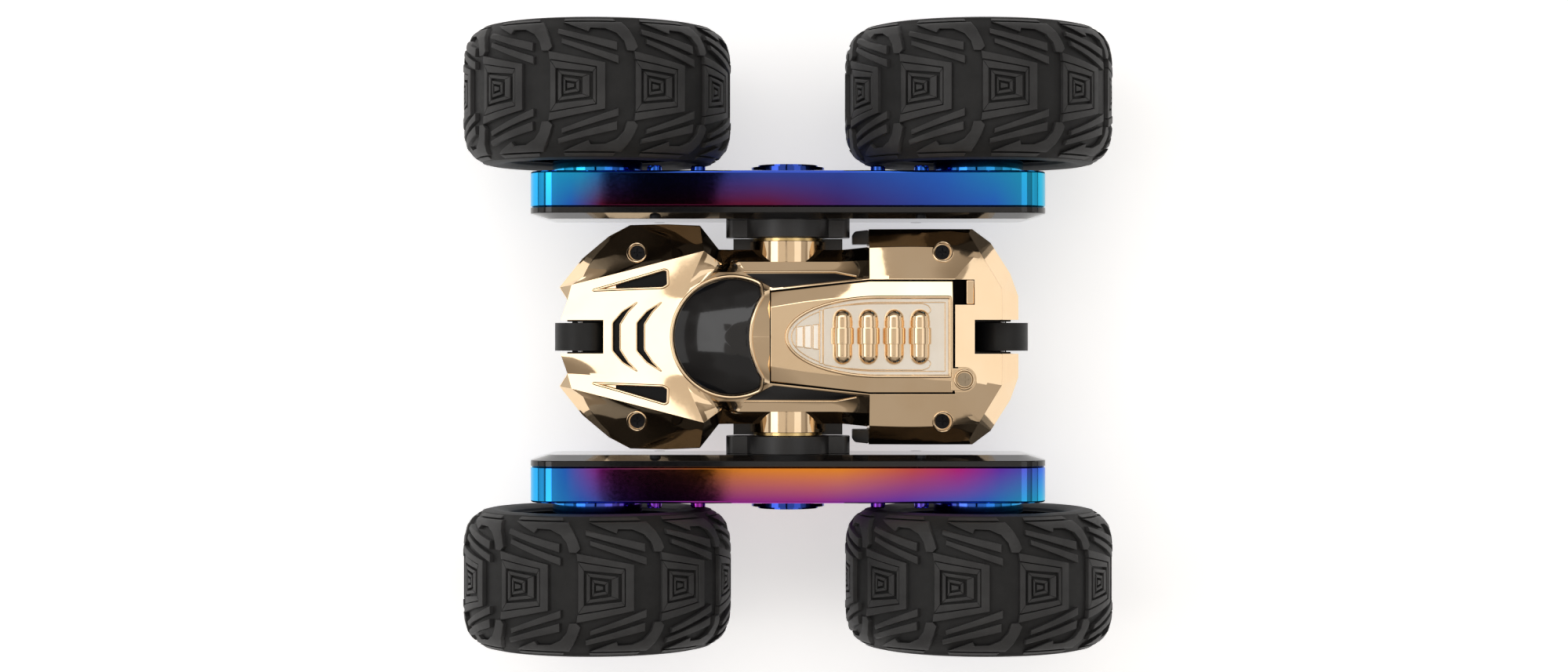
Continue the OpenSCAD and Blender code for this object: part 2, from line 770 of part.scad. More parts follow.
module lid_outline() {
    polygon(concat(lid_plan, [for (i = [2:-1:0]) [lid_plan[i].x, -lid_plan[i].y]]));
}

// The engine panel's arch: a half ellipse that runs back to a straight edge
module arch_plan(grow) {
    intersection() {
        translate([-34.5, 0]) scale([1, 0.42]) circle(34.6 + grow);
        translate([-34.5, -20]) square([60, 40]);
    }
    translate([-60.4 - grow, -14.5 - grow]) square([26.2 + grow, 29 + 2 * grow]);
}

module lid_block(drop) {
    front = [[lid_hinge.x, 16.9, 24.5 - drop], [lid_hinge.x, 15.3, deck_h - drop]];
    back = [[-30.5, 21.1, 24.5 - drop], [lid_rear, 21.1, 24.5 - drop],
        [lid_rear, 15.3, deck_h - drop]];
    block(concat(front, back, [for (p = concat(front, back)) [p.x, p.y, 24.5 - drop - lid_t]]));
}

module battery_lid() {
    color([0.85, 0.65, 0.35]) at_pivot() difference() {
        union() {
            difference() {
                lid_block(0);
                difference() {
                    lid_block(lid_t);
                    box([-70, 20], [-13, 13], [0, deck_h - lid_t]);
                }
                box([lid_rear + 4, lid_front - 4], [-12, 12], [0, deck_h - lid_t - 1.6]);
            }
            translate([lid_hinge.x, 0, lid_hinge.y]) disc_y(lid_t / 2, -15.3, 15.3);
            translate([0, 0, deck_h - 4.4]) linear_extrude(2.4) {
                translate(lid_screw) circle(lid_tab_r);
                translate([lid_screw.x, lid_screw.y - lid_tab_r]) square([8, 2 * lid_tab_r]);
            }
        }
        translate([0, 0, deck_h - panel_depth]) linear_extrude(5) arch_plan(0);
        translate([lid_screw.x, lid_screw.y, 0]) cylinder(r = 1.5, h = 40);
    }
}

module engine_panel() {
    color([0.9, 0.75, 0.5]) at_pivot() translate([0, 0, deck_h - panel_depth + 0.02])
        linear_extrude(panel_depth - 0.42) arch_plan(-0.1);
}

module intake_stacks() {
    base = deck_h - 0.38;
    color([0.85, 0.65, 0.35]) at_pivot() intersection() {
        for (x = stack_x) translate([x, 0, base]) {
            half = stack_len / 2 - stack_r;
            disc_y(stack_r, -half, half);
            disc_y(stack_r + 0.5, -band_len / 2, band_len / 2);
            for (s = SIDES) translate([0, s * half, 0]) sphere(stack_r);
        }
        box([-60, 0], [-20, 20], [base, base + 10]);
    }
}

module lid_screw() {
    top = deck_h - 2;
    color("dimgray") at_pivot() translate([lid_screw.x, lid_screw.y, 0]) difference() {
        union() {
            translate([0, 0, top]) cylinder(r = 2.6, h = 1.4);
            translate([0, 0, top - 7]) cylinder(r = 1.2, h = 7.1);
        }
        for (a = [0, 90]) rotate(a) translate([-1.6, -0.3, top + 0.6]) cube([3.2, 0.6, 2]);
    }
}

// ---- one node at a time ----

upper_shell();
lower_shell();
canopy();
hood_vents();
fender_vents();
side_strips();
body_screws();
roller_pins();
pivot_bushes();
battery_pack();
circuit_board();
switch_housing();
switch_knob();
roller(0);  // front_roller
roller(1);  // rear_roller
battery_lid();
engine_panel();
intake_stacks();
lid_screw();
for (j = [0, 1]) {
    s = SIDES[j];
    n = SIDE_NAME[j];
    arm_outer_shell(s);
    arm_inner_shell(s);
    arm_cap(s);
    arm_screws(s);
    gear_pins(s);
    pivot_hub(s);
    motor(s);
    pinion(s);
    for (i = [0, 1]) {
        e = ENDS[i];
        m = str(END_NAME[i], "_", n);
        first_gear(e, s);
        second_gear(e, s);
        axle_gear(e, s);
        wheel_axle(e, s);
        rim(e, s);
        tyre(e, s);
    }
}
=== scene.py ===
"""Looks of the stunt car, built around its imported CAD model.

Lengths are millimetres and heights are measured from the arm pivot, as in the CAD source, until at() turns
them into the frame's metres. +X is the nose, +Y the car's left.
"""

import json
import math

import bmesh
import bpy
from mathutils import Matrix, Vector
from mathutils.bvhtree import BVHTree


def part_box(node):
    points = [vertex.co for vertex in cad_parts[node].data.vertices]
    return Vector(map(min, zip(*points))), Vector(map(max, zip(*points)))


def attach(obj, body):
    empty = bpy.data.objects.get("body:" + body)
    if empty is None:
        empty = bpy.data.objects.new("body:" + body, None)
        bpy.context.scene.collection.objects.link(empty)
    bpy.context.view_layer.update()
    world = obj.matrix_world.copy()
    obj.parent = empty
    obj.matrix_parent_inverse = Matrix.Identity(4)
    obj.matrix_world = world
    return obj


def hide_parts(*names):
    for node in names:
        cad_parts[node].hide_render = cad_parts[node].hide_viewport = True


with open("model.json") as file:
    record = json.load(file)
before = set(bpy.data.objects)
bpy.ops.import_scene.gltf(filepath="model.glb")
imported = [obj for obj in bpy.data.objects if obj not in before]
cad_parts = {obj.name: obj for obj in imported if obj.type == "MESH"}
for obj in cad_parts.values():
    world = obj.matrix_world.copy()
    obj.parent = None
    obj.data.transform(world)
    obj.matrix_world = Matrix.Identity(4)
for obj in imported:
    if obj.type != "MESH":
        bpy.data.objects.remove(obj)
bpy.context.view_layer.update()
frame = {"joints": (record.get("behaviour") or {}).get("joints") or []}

MM = 0.001
JOINTS = {j["name"]: j for j in frame["joints"]}
PIVOT = JOINTS["left_arm_turn"]["pos_m"][2] / MM  # height of the arm pivot above the ground
AXLE_X = JOINTS["front_left_wheel_spin"]["pos_m"][0] / MM
SIDES = {"left": 1, "right": -1}
ENDS = {"front": 1, "rear": -1}


# -------------------- helpers


def at(x, y, h):
    """A point in the frame's metres."""
    return Vector((x * MM, y * MM, (h + PIVOT) * MM))


def size_of(node):
    """Lowest and highest corner of a CAD node, in millimetres, its height from the pivot."""
    low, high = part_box(node)
    return [Vector((p.x / MM, p.y / MM, p.z / MM - PIVOT)) for p in (low, high)]


def add_object(name, data):
    obj = bpy.data.objects.new(name, data)
    bpy.context.scene.collection.objects.link(obj)
    return obj


def mesh_object(name, points, faces):
    """A mesh from points (x, y, height) in millimetres."""
    mesh = bpy.data.meshes.new(name)
    mesh.from_pydata([at(*p) for p in points], [], faces)
    return weld(add_object(name, mesh))


def weld(obj):
    """Joins points that meet and turns all faces outwards."""
    bm = bmesh.new()
    bm.from_mesh(obj.data)
    bmesh.ops.remove_doubles(bm, verts=bm.verts, dist=0.002 * MM)
    bmesh.ops.recalc_face_normals(bm, faces=bm.faces)
    bm.to_mesh(obj.data)
    bm.free()
    return obj


def freeze(obj):
    """Applies every modifier."""
    graph = bpy.context.evaluated_depsgraph_get()
    mesh = bpy.data.meshes.new_from_object(obj.evaluated_get(graph))
    old, obj.data = obj.data, mesh
    obj.modifiers.clear()
    bpy.data.meshes.remove(old)
    return obj


def smooth(obj, degrees=30):
    """Smooth shading, but for edges sharper than this. Large faces stay flat."""
    obj.data.shade_smooth()
    obj.data.set_sharp_from_angle(angle=math.radians(degrees))
    m = obj.modifiers.new("normals", "WEIGHTED_NORMAL")
    m.keep_sharp = True
    return freeze(obj)


def bevel(obj, width, segments=2, degrees=30):
    m = obj.modifiers.new("bevel", "BEVEL")
    m.width = width * MM
    m.segments = segments
    m.limit_method = "ANGLE"
    m.angle_limit = math.radians(degrees)
    return freeze(obj)


def subdivide(obj, levels):
    m = obj.modifiers.new("subdivide", "SUBSURF")
    m.levels = levels
    m.render_levels = levels
    return freeze(obj)


def boolean(obj, other, operation="DIFFERENCE"):
    """Cuts, joins or keeps what is shared, then removes the other object."""
    m = obj.modifiers.new("boolean", "BOOLEAN")
    m.object = other
    m.operation = operation
    m.solver = "EXACT"
    freeze(obj)
    bpy.data.objects.remove(other)
    return obj


def cut(obj, cutters):
    """Cuts an object with each of several others."""
    for cutter in cutters:
        boolean(obj, cutter)


def join(objs, name=None):
    """One object from several. It keeps the first one's name unless it gets another."""
    first = objs[0]
    bm = bmesh.new()
    for o in objs:
        bm.from_mesh(o.data)
    bm.to_mesh(first.data)
    bm.free()
    for o in objs[1:]:
        bpy.data.objects.remove(o)
    if name:
        first.name = name
    return first


def prism(name, plan, low, high):
    """An upright block over a plan outline, a list of (x, y). Low and high may be functions of x and y."""
    n = len(plan)
    bottom = [(x, y, low(x, y) if callable(low) else low) for x, y in plan]
    top = [(x, y, high(x, y) if callable(high) else high) for x, y in plan]
    sides = [(i, (i + 1) % n, n + (i + 1) % n, n + i) for i in range(n)]
    return mesh_object(name, bottom + top, [tuple(range(n - 1, -1, -1)), tuple(range(n, 2 * n))] + sides)


def loft(name, rings, endless=False):
    """Skin through rings of equal length. It gets a cap at each end, unless the last ring meets the first."""
    n = len(rings[0])
    count = len(rings)
    faces = []
    for k in range(count if endless else count - 1):
        here, there = k * n, (k + 1) % count * n
        faces += [(here + i, here + (i + 1) % n, there + (i + 1) % n, there + i) for i in range(n)]
    if not endless:
        faces += [tuple(range(n)), tuple(range((count - 1) * n, count * n))]
    return mesh_object(name, [p for ring in rings for p in ring], faces)


def full_turn(steps):
    """Angles of equal steps round a circle."""
    return [2 * math.pi * i / steps for i in range(steps)]


def lathe_y(name, profile, centre, steps=64, endless=False):
    """Turns a profile of (y, radius) about an axis along Y through centre (x, height)."""
    cx, ch = centre
    rings = [[(cx + r * math.cos(a), y, ch + r * math.sin(a)) for a in full_turn(steps)] for y, r in profile]
    return loft(name, rings, endless)


def arc(cx, cy, r, start, end, steps):
    """Points on a circle, its angles in degrees."""
    angles = [math.radians(start + (end - start) * i / steps) for i in range(steps + 1)]
    return [(cx + r * math.cos(a), cy + r * math.sin(a)) for a in angles]


def circle(cx, cy, r, steps=48):
    """Points all the way round a circle."""
    return arc(cx, cy, r, 0, 360 - 360 / steps, steps - 1)


def other_half(profile):
    """A profile's mirror image over 0, in reverse order."""
    return [(-v, r) for v, r in profile[::-1]]


def mirrored(half):
    """A whole outline from its half at positive y."""
    return list(half) + [(x, -y) for x, y in reversed(half) if abs(y) > 1e-6]


def on_side(plan, s):
    """An outline on the left (1), or its mirror image on the right (-1)."""
    return [(x, s * y) for x, y in plan]


def rounded(plan, radius, steps=4):
    """An outline with its corners rounded off."""
    out = []
    n = len(plan)
    for i in range(n):
        p, c, q = Vector(plan[i - 1]), Vector(plan[i]), Vector(plan[(i + 1) % n])
        a, b = (p - c), (q - c)
        reach = min(radius, a.length * 0.45, b.length * 0.45)
        start, end = c + a.normalized() * reach, c + b.normalized() * reach
        for k in range(steps + 1):
            t = k / steps
            point = start * (1 - t) ** 2 + c * 2 * t * (1 - t) + end * t * t
            out.append((point.x, point.y))
    return out


def resampled(plan, step):
    """A closed outline with points no further apart than step."""
    out = []
    for i, p in enumerate(plan):
        a, b = Vector(p), Vector(plan[(i + 1) % len(plan)])
        parts = max(1, math.ceil((b - a).length / step))
        out += [tuple(a.lerp(b, k / parts)) for k in range(parts)]
    return out


class Surface:
    """Heights of a finished mesh, seen from above."""

    def __init__(self, obj):
        mesh = obj.data
        mesh.calc_loop_triangles()
        self.tree = BVHTree.FromPolygons(
            [v.co.copy() for v in mesh.vertices], [tuple(t.vertices) for t in mesh.loop_triangles]
        )

    def height(self, x, y):
        hit = self.tree.ray_cast(at(x, y, 200), Vector((0, 0, -1)))[0]
        return hit.z / MM - PIVOT if hit is not None else 0.0


def bead(name, path, radius, closed=True, sides=10):
    """A round wire along a path of (x, y, height)."""
    points = [Vector(p) for p in path]
    n = len(points)
    rings = []
    for i, p in enumerate(points):
        before = points[i - 1] if closed or i else p
        after = points[(i + 1) % n] if closed or i < n - 1 else p
        along = (after - before).normalized()
        side = along.cross(Vector((0, 0, 1))).normalized()
        up = side.cross(along)
        turn = full_turn(sides)
        rings.append([tuple(p + side * radius * math.cos(a) + up * radius * math.sin(a)) for a in turn])
    return smooth(loft(name, rings, endless=closed), 60)


def draped_bead(name, surface, plan, radius, lift=0.0):
    """A round wire that lies on a surface along a closed outline."""
    return bead(name, [(x, y, surface.height(x, y) + lift) for x, y in resampled(plan, 0.8)], radius)


def place(obj, body, slot, material, *nodes):
    """Finishes a piece: what it rides on, what finish it has and which CAD nodes it stands for."""
    obj.data.materials.clear()
    obj.data.materials.append(material)
    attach(obj, body)
    if nodes:
        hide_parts(*nodes)
    return obj


# -------------------- materials


def shader(name, color, metallic=0.0, roughness=0.4, **inputs):
    """A material with one Principled shader. Returns it with its node tree and the shader."""
    material = bpy.data.materials.new(name)
    material.use_nodes = True
    tree = material.node_tree
    bsdf = tree.nodes["Principled BSDF"]
    bsdf.inputs["Base Color"].default_value = (*color, 1)
    bsdf.inputs["Metallic"].default_value = metallic
    bsdf.inputs["Roughness"].default_value = roughness
    for key, value in inputs.items():
        bsdf.inputs[key.replace("_", " ")].default_value = value
    return material, tree, bsdf


def noise(tree, scale, detail=3.0, stretch=(1, 1, 1)):
    """Noise in the object's own coordinates. Scale is in cycles per metre."""
    where = tree.nodes.new("ShaderNodeTexCoord")
    mapping = tree.nodes.new("ShaderNodeMapping")
    mapping.inputs["Scale"].default_value = stretch
    texture = tree.nodes.new("ShaderNodeTexNoise")
    texture.inputs["Scale"].default_value = scale
    texture.inputs["Detail"].default_value = detail
    tree.links.new(where.outputs["Object"], mapping.inputs["Vector"])
    tree.links.new(mapping.outputs["Vector"], texture.inputs["Vector"])
    return texture.outputs["Fac"]


def ramp(tree, source, stops):
    """A colour ramp on a value. Stops are (position, colour)."""
    node = tree.nodes.new("ShaderNodeValToRGB")
    elements = node.color_ramp.elements
    while len(elements) < len(stops):
        elements.new(0.5)
    for element, (position, color) in zip(elements, stops):
        element.position = position
        element.color = (*color, 1)
    tree.links.new(source, node.inputs["Fac"])
    return node.outputs["Color"]


def spread(tree, source, low, high):
    """Maps 0..1 to low..high."""
    node = tree.nodes.new("ShaderNodeMapRange")
    node.inputs["To Min"].default_value = low
    node.inputs["To Max"].default_value = high
    tree.links.new(source, node.inputs["Value"])
    return node.outputs["Result"]


def roughness_from(tree, bsdf, source, low, high):
    tree.links.new(spread(tree, source, low, high), bsdf.inputs["Roughness"])


def bump(tree, bsdf, source, depth, strength):
    """Relief with a depth in millimetres."""
    node = tree.nodes.new("ShaderNodeBump")
    node.inputs["Distance"].default_value = depth * MM
    node.inputs["Strength"].default_value = strength
    tree.links.new(source, node.inputs["Height"])
    tree.links.new(node.outputs["Normal"], bsdf.inputs["Normal"])


def gold(name="gold_plating", color=(0.88, 0.67, 0.44), haze=(0.03, 0.10)):
    """Vacuum plating: a mirror with slow waves and a faint haze that varies."""
    material, tree, bsdf = shader(name, color, metallic=1.0, roughness=0.06)
    deep = (color[0] * 0.97, color[1] * 0.95, color[2] * 0.92)
    tint = ramp(tree, noise(tree, 60), [(0.35, deep), (0.65, color)])
    tree.links.new(tint, bsdf.inputs["Base Color"])
    roughness_from(tree, bsdf, noise(tree, 900), *haze)
    bump(tree, bsdf, noise(tree, 70, 1.0), 0.12, 0.5)
    return material


def gloss_black():
    material, tree, bsdf = shader("gloss_black", (0.006, 0.006, 0.007), roughness=0.08, Coat_Weight=0.4,
                                  Coat_Roughness=0.03, Specular_IOR_Level=0.35)
    roughness_from(tree, bsdf, noise(tree, 700), 0.05, 0.16)
    bump(tree, bsdf, noise(tree, 60, 1.0), 0.1, 0.4)
    return material


def grained_black(name, shade, grain, roughness, **inputs):
    """Black plastic with a fine grain."""
    material, tree, bsdf = shader(name, shade, **inputs)
    roughness_from(tree, bsdf, noise(tree, grain), *roughness)
    bump(tree, bsdf, noise(tree, grain, 4.0), 0.03, 0.5)
    return material


def rubber(name, shade, roughness):
    """Tyre rubber: dull, with a fine moulded grain and paler scuffed patches."""
    material, tree, bsdf = shader(name, (shade, shade, shade * 1.03), Specular_IOR_Level=0.3)
    patches = ramp(tree, noise(tree, 120), [
        (0.3, (shade * 0.85, shade * 0.85, shade * 0.87)), (0.7, (shade * 1.25, shade * 1.25, shade * 1.27))
    ])
    tree.links.new(patches, bsdf.inputs["Base Color"])
    roughness_from(tree, bsdf, noise(tree, 500), *roughness)
    bump(tree, bsdf, noise(tree, 3500, 4.0), 0.03, 0.4)
    return material


def metal(name, color, roughness, stretch=(1, 1, 1)):
    material, tree, bsdf = shader(name, color, metallic=1.0)
    roughness_from(tree, bsdf, noise(tree, 1500, 3.0, stretch), *roughness)
    bump(tree, bsdf, noise(tree, 2500, 2.0, stretch), 0.01, 0.5)
    return material


def plain_plastic(name, color, roughness=(0.3, 0.45)):
    material, tree, bsdf = shader(name, color)
    dark = tuple(c * 0.9 for c in color)
    tree.links.new(ramp(tree, noise(tree, 150), [(0.35, dark), (0.65, color)]), bsdf.inputs["Base Color"])
    roughness_from(tree, bsdf, noise(tree, 1500), *roughness)
    bump(tree, bsdf, noise(tree, 2500), 0.02, 0.4)
    return material


def position_value(tree, axis, low, high):
    """Maps a coordinate of the object, from low to high millimetres, to 0..1."""
    where = tree.nodes.new("ShaderNodeTexCoord")
    split = tree.nodes.new("ShaderNodeSeparateXYZ")
    tree.links.new(where.outputs["Object"], split.inputs["Vector"])
    ranged = tree.nodes.new("ShaderNodeMapRange")
    ranged.inputs["From Min"].default_value = low * MM
    ranged.inputs["From Max"].default_value = high * MM
    tree.links.new(split.outputs[axis], ranged.inputs["Value"])
    return ranged.outputs["Result"]


def mix(tree, factor, a, b):
    """Blends two colours."""
    node = tree.nodes.new("ShaderNodeMix")
    node.data_type = "RGBA"
    tree.links.new(factor, node.inputs["Factor"])
    tree.links.new(a, node.inputs["A"])
    tree.links.new(b, node.inputs["B"])
    return node.outputs["Result"]


CYAN, TEAL, BLUE, NAVY = (0.02, 0.42, 0.82), (0.02, 0.44, 0.66), (0.03, 0.16, 0.7), (0.035, 0.08, 0.45)
VIOLET, PLUM, WINE = (0.15, 0.05, 0.52), (0.07, 0.03, 0.2), (0.16, 0.015, 0.06)
PURPLE, MAGENTA, RED, ORANGE = (0.36, 0.03, 0.34), (0.5, 0.03, 0.27), (0.64, 0.1, 0.1), (0.95, 0.31, 0.04)
# colours from an arm's front end (0) to its rear end (1): along its outer edge, then along its seam
RIGHT_EDGE = [(0, CYAN), (0.1, CYAN), (0.16, BLUE), (0.38, NAVY), (0.6, NAVY), (0.8, BLUE), (1, TEAL)]
RIGHT_SEAM = [
    (0, CYAN), (0.08, BLUE), (0.14, WINE), (0.46, WINE), (0.6, PLUM), (0.76, NAVY), (0.9, BLUE), (1, TEAL)
]
LEFT_EDGE = [
    (0, CYAN), (0.1, BLUE), (0.2, VIOLET), (0.36, PURPLE), (0.55, PURPLE), (0.72, VIOLET), (0.88, BLUE),
    (1, TEAL),
]
LEFT_SEAM = [
    (0, CYAN), (0.07, BLUE), (0.14, PURPLE), (0.34, ORANGE), (0.6, ORANGE), (0.74, RED), (0.83, MAGENTA),
    (0.91, VIOLET), (1, BLUE),
]
ARM_TIP = 97  # how far the colours run from the pivot


def iridescent(name, edge_y, edge_colors, seam_y, seam_colors):
    """Mirror plating with interference colours that drift along an arm and across it."""
    material, tree, bsdf = shader(name, BLUE, metallic=1.0, roughness=0.05)
    along = position_value(tree, "X", ARM_TIP, -ARM_TIP)
    across = position_value(tree, "Y", edge_y, seam_y)
    color = mix(tree, across, ramp(tree, along, edge_colors), ramp(tree, along, seam_colors))
    tree.links.new(color, bsdf.inputs["Base Color"])
    roughness_from(tree, bsdf, noise(tree, 900), 0.03, 0.08)
    bump(tree, bsdf, noise(tree, 45, 1.0), 0.15, 0.4)
    return material


GOLD = gold()
PANEL_GOLD = gold("panel_plating", (0.98, 0.92, 0.82), (0.26, 0.38))
GLOSS = gloss_black()
SATIN = grained_black("satin_black", (0.012, 0.012, 0.013), 2600, (0.32, 0.48))
VENT = grained_black("vent_black", (0.006, 0.006, 0.006), 1800, (0.4, 0.55), Specular_IOR_Level=0.12)
# one rubber in two shades: the carcass, seen in the grooves between the blocks, is painted darker (painted
# shade) and the tread blocks paler (painted light)
TYRE = rubber("tyre_rubber_painted_shade", 0.014, (0.55, 0.7))
TREAD_PAINTED_LIGHT = rubber("tread_rubber_painted_light", 0.036, (0.5, 0.65))
ROLLER = rubber("roller_rubber", 0.012, (0.4, 0.55))
STEEL = metal("steel", (0.42, 0.42, 0.43), (0.18, 0.32))
# steel darkened nearly to black: painted shade of the deep screw holes, not a finish of the screws
SCREW_STEEL_PAINTED_SHADE = metal("screw_steel_painted_shade", (0.02, 0.02, 0.022), (0.35, 0.5))
MOTOR_CAN = metal("motor_can", (0.66, 0.66, 0.65), (0.2, 0.35), (1, 12, 1))
PLATED_STEEL = metal("plated_steel", (0.42, 0.34, 0.24), (0.16, 0.28))
BRASS = metal("brass", (0.78, 0.57, 0.26), (0.15, 0.3))
GEAR_WHITE = plain_plastic("gear_white", (0.78, 0.77, 0.72))
GEAR_IVORY = plain_plastic("gear_ivory", (0.72, 0.66, 0.52))
SLEEVE = plain_plastic("battery_sleeve", (0.02, 0.09, 0.35), (0.12, 0.2))
BOARD = plain_plastic("solder_mask", (0.01, 0.16, 0.07), (0.2, 0.3))
RIM = iridescent("iridescent_rim", 115, LEFT_EDGE, 0, RIGHT_EDGE)
CAP = iridescent("iridescent_cap", 70, RIGHT_EDGE, -70, RIGHT_EDGE)
IRIDESCENT = {
    "left": iridescent("iridescent_left", 62, LEFT_EDGE, 50, LEFT_SEAM),
    "right": iridescent("iridescent_right", -62, RIGHT_EDGE, -50, RIGHT_SEAM),
}


# -------------------- camera, lights and floor


def room():
    """Dim surroundings: a mid tone high up, darker towards the horizon, with uneven patches."""
    world = bpy.data.worlds.new("room")
    world.use_nodes = True
    tree = world.node_tree
    where = tree.nodes.new("ShaderNodeTexCoord")
    split = tree.nodes.new("ShaderNodeSeparateXYZ")
    tree.links.new(where.outputs["Generated"], split.inputs["Vector"])
    patches = tree.nodes.new("ShaderNodeTexNoise")
    patches.inputs["Scale"].default_value = 2.2
    patches.inputs["Detail"].default_value = 1.5
    tree.links.new(where.outputs["Generated"], patches.inputs["Vector"])
    height = tree.nodes.new("ShaderNodeMath")
    height.operation = "MULTIPLY_ADD"
    height.inputs[1].default_value = 0.7
    tree.links.new(patches.outputs["Fac"], height.inputs[0])
    tree.links.new(split.outputs["Z"], height.inputs[2])
    color = ramp(tree, height.outputs["Value"], [
        (0.42, (0.05, 0.043, 0.038)), (0.62, (0.16, 0.14, 0.12)), (0.9, (0.32, 0.29, 0.26)),
        (1.0, (0.48, 0.45, 0.42)),
    ])
    tree.links.new(color, tree.nodes["Background"].inputs["Color"])
    return world


def camera():
    """Straight above, with the nose to the left of the picture."""
    obj = add_object("camera", bpy.data.cameras.new("camera"))
    obj.location = (0.0015, -0.0003, 1.1)
    obj.rotation_euler = (0, 0, math.pi)
    obj.data.lens = 62.8
    obj.data.sensor_width = 36
    bpy.context.scene.camera = obj


def softbox(name, place_at, look_at, size, radiance):
    """Rectangular light. Places and sizes are in metres."""
    data = bpy.data.lights.new(name, "AREA")
    data.shape = "RECTANGLE"
    data.size, data.size_y = size
    data.energy = radiance * math.pi * size[0] * size[1]
    light = add_object(name, data)
    light.location = place_at
    aim = Vector(look_at) - Vector(place_at)
    light.rotation_euler = aim.to_track_quat("-Z", "Y").to_euler()


def panel(name, xs, ys, height, material):
    """A level rectangle between these x and these y, at a height over the ground. It belongs to the set."""
    corners = [(xs[0], ys[0]), (xs[1], ys[0]), (xs[1], ys[1]), (xs[0], ys[1])]
    obj = mesh_object(name, [(x, y, height - PIVOT) for x, y in corners], [(0, 1, 2, 3)])
    obj.data.materials.append(material)


def glowing(name, color, glow, strength):
    """Dull cloth that gives off some light."""
    return shader(name, color, roughness=0.9, Emission_Color=(*glow, 1), Emission_Strength=strength)[0]


def white_floor():
    material, tree, bsdf = shader("floor_white", (0.9, 0.9, 0.9), roughness=0.6,
                                  Emission_Color=(1, 1, 1, 1), Emission_Strength=0.5)
    roughness_from(tree, bsdf, noise(tree, 3), 0.55, 0.65)
    return material


def studio():
    """The camera under one large soft light, with what the bright plating mirrors around it."""
    camera()
    bpy.context.scene.view_settings.view_transform = "Standard"
    bpy.context.scene.world = room()
    softbox("overhead", (0.35, -0.22, 1.35), (0.35, -0.22, 0), (2.7, 1.65), 1.75)
    softbox("front", (2.4, 0, 0.7), (0, 0, 0), (2.4, 1.2), 0.6)
    softbox("rear", (-2.4, 0, 0.7), (0, 0, 0), (2.4, 1.2), 0.6)

    # a dim ceiling round the camera, a scrim beside it, and two dark flags that the tops of the arms mirror
    ceiling = glowing("ceiling", (0.3, 0.28, 0.26), (1, 0.94, 0.87), 0.4)
    scrim = glowing("scrim", (0.3, 0.3, 0.3), (1, 0.98, 0.96), 0.85)
    black = shader("flag_cloth", (0.004, 0.004, 0.004), roughness=0.9, Specular_IOR_Level=0.0)[0]
    panel("ceiling", (-420, 700), (-450, 600), 1250, ceiling)
    panel("scrim", (-1000, -420), (-1050, 600), 1250, scrim)
    for s in SIDES.values():
        panel("flag", (50, 145), (s * 75, s * 240), 1200, black)
    panel("floor", (-4000, 4000), (-4000, 4000), 0, white_floor())


studio()


# -------------------- upper shell


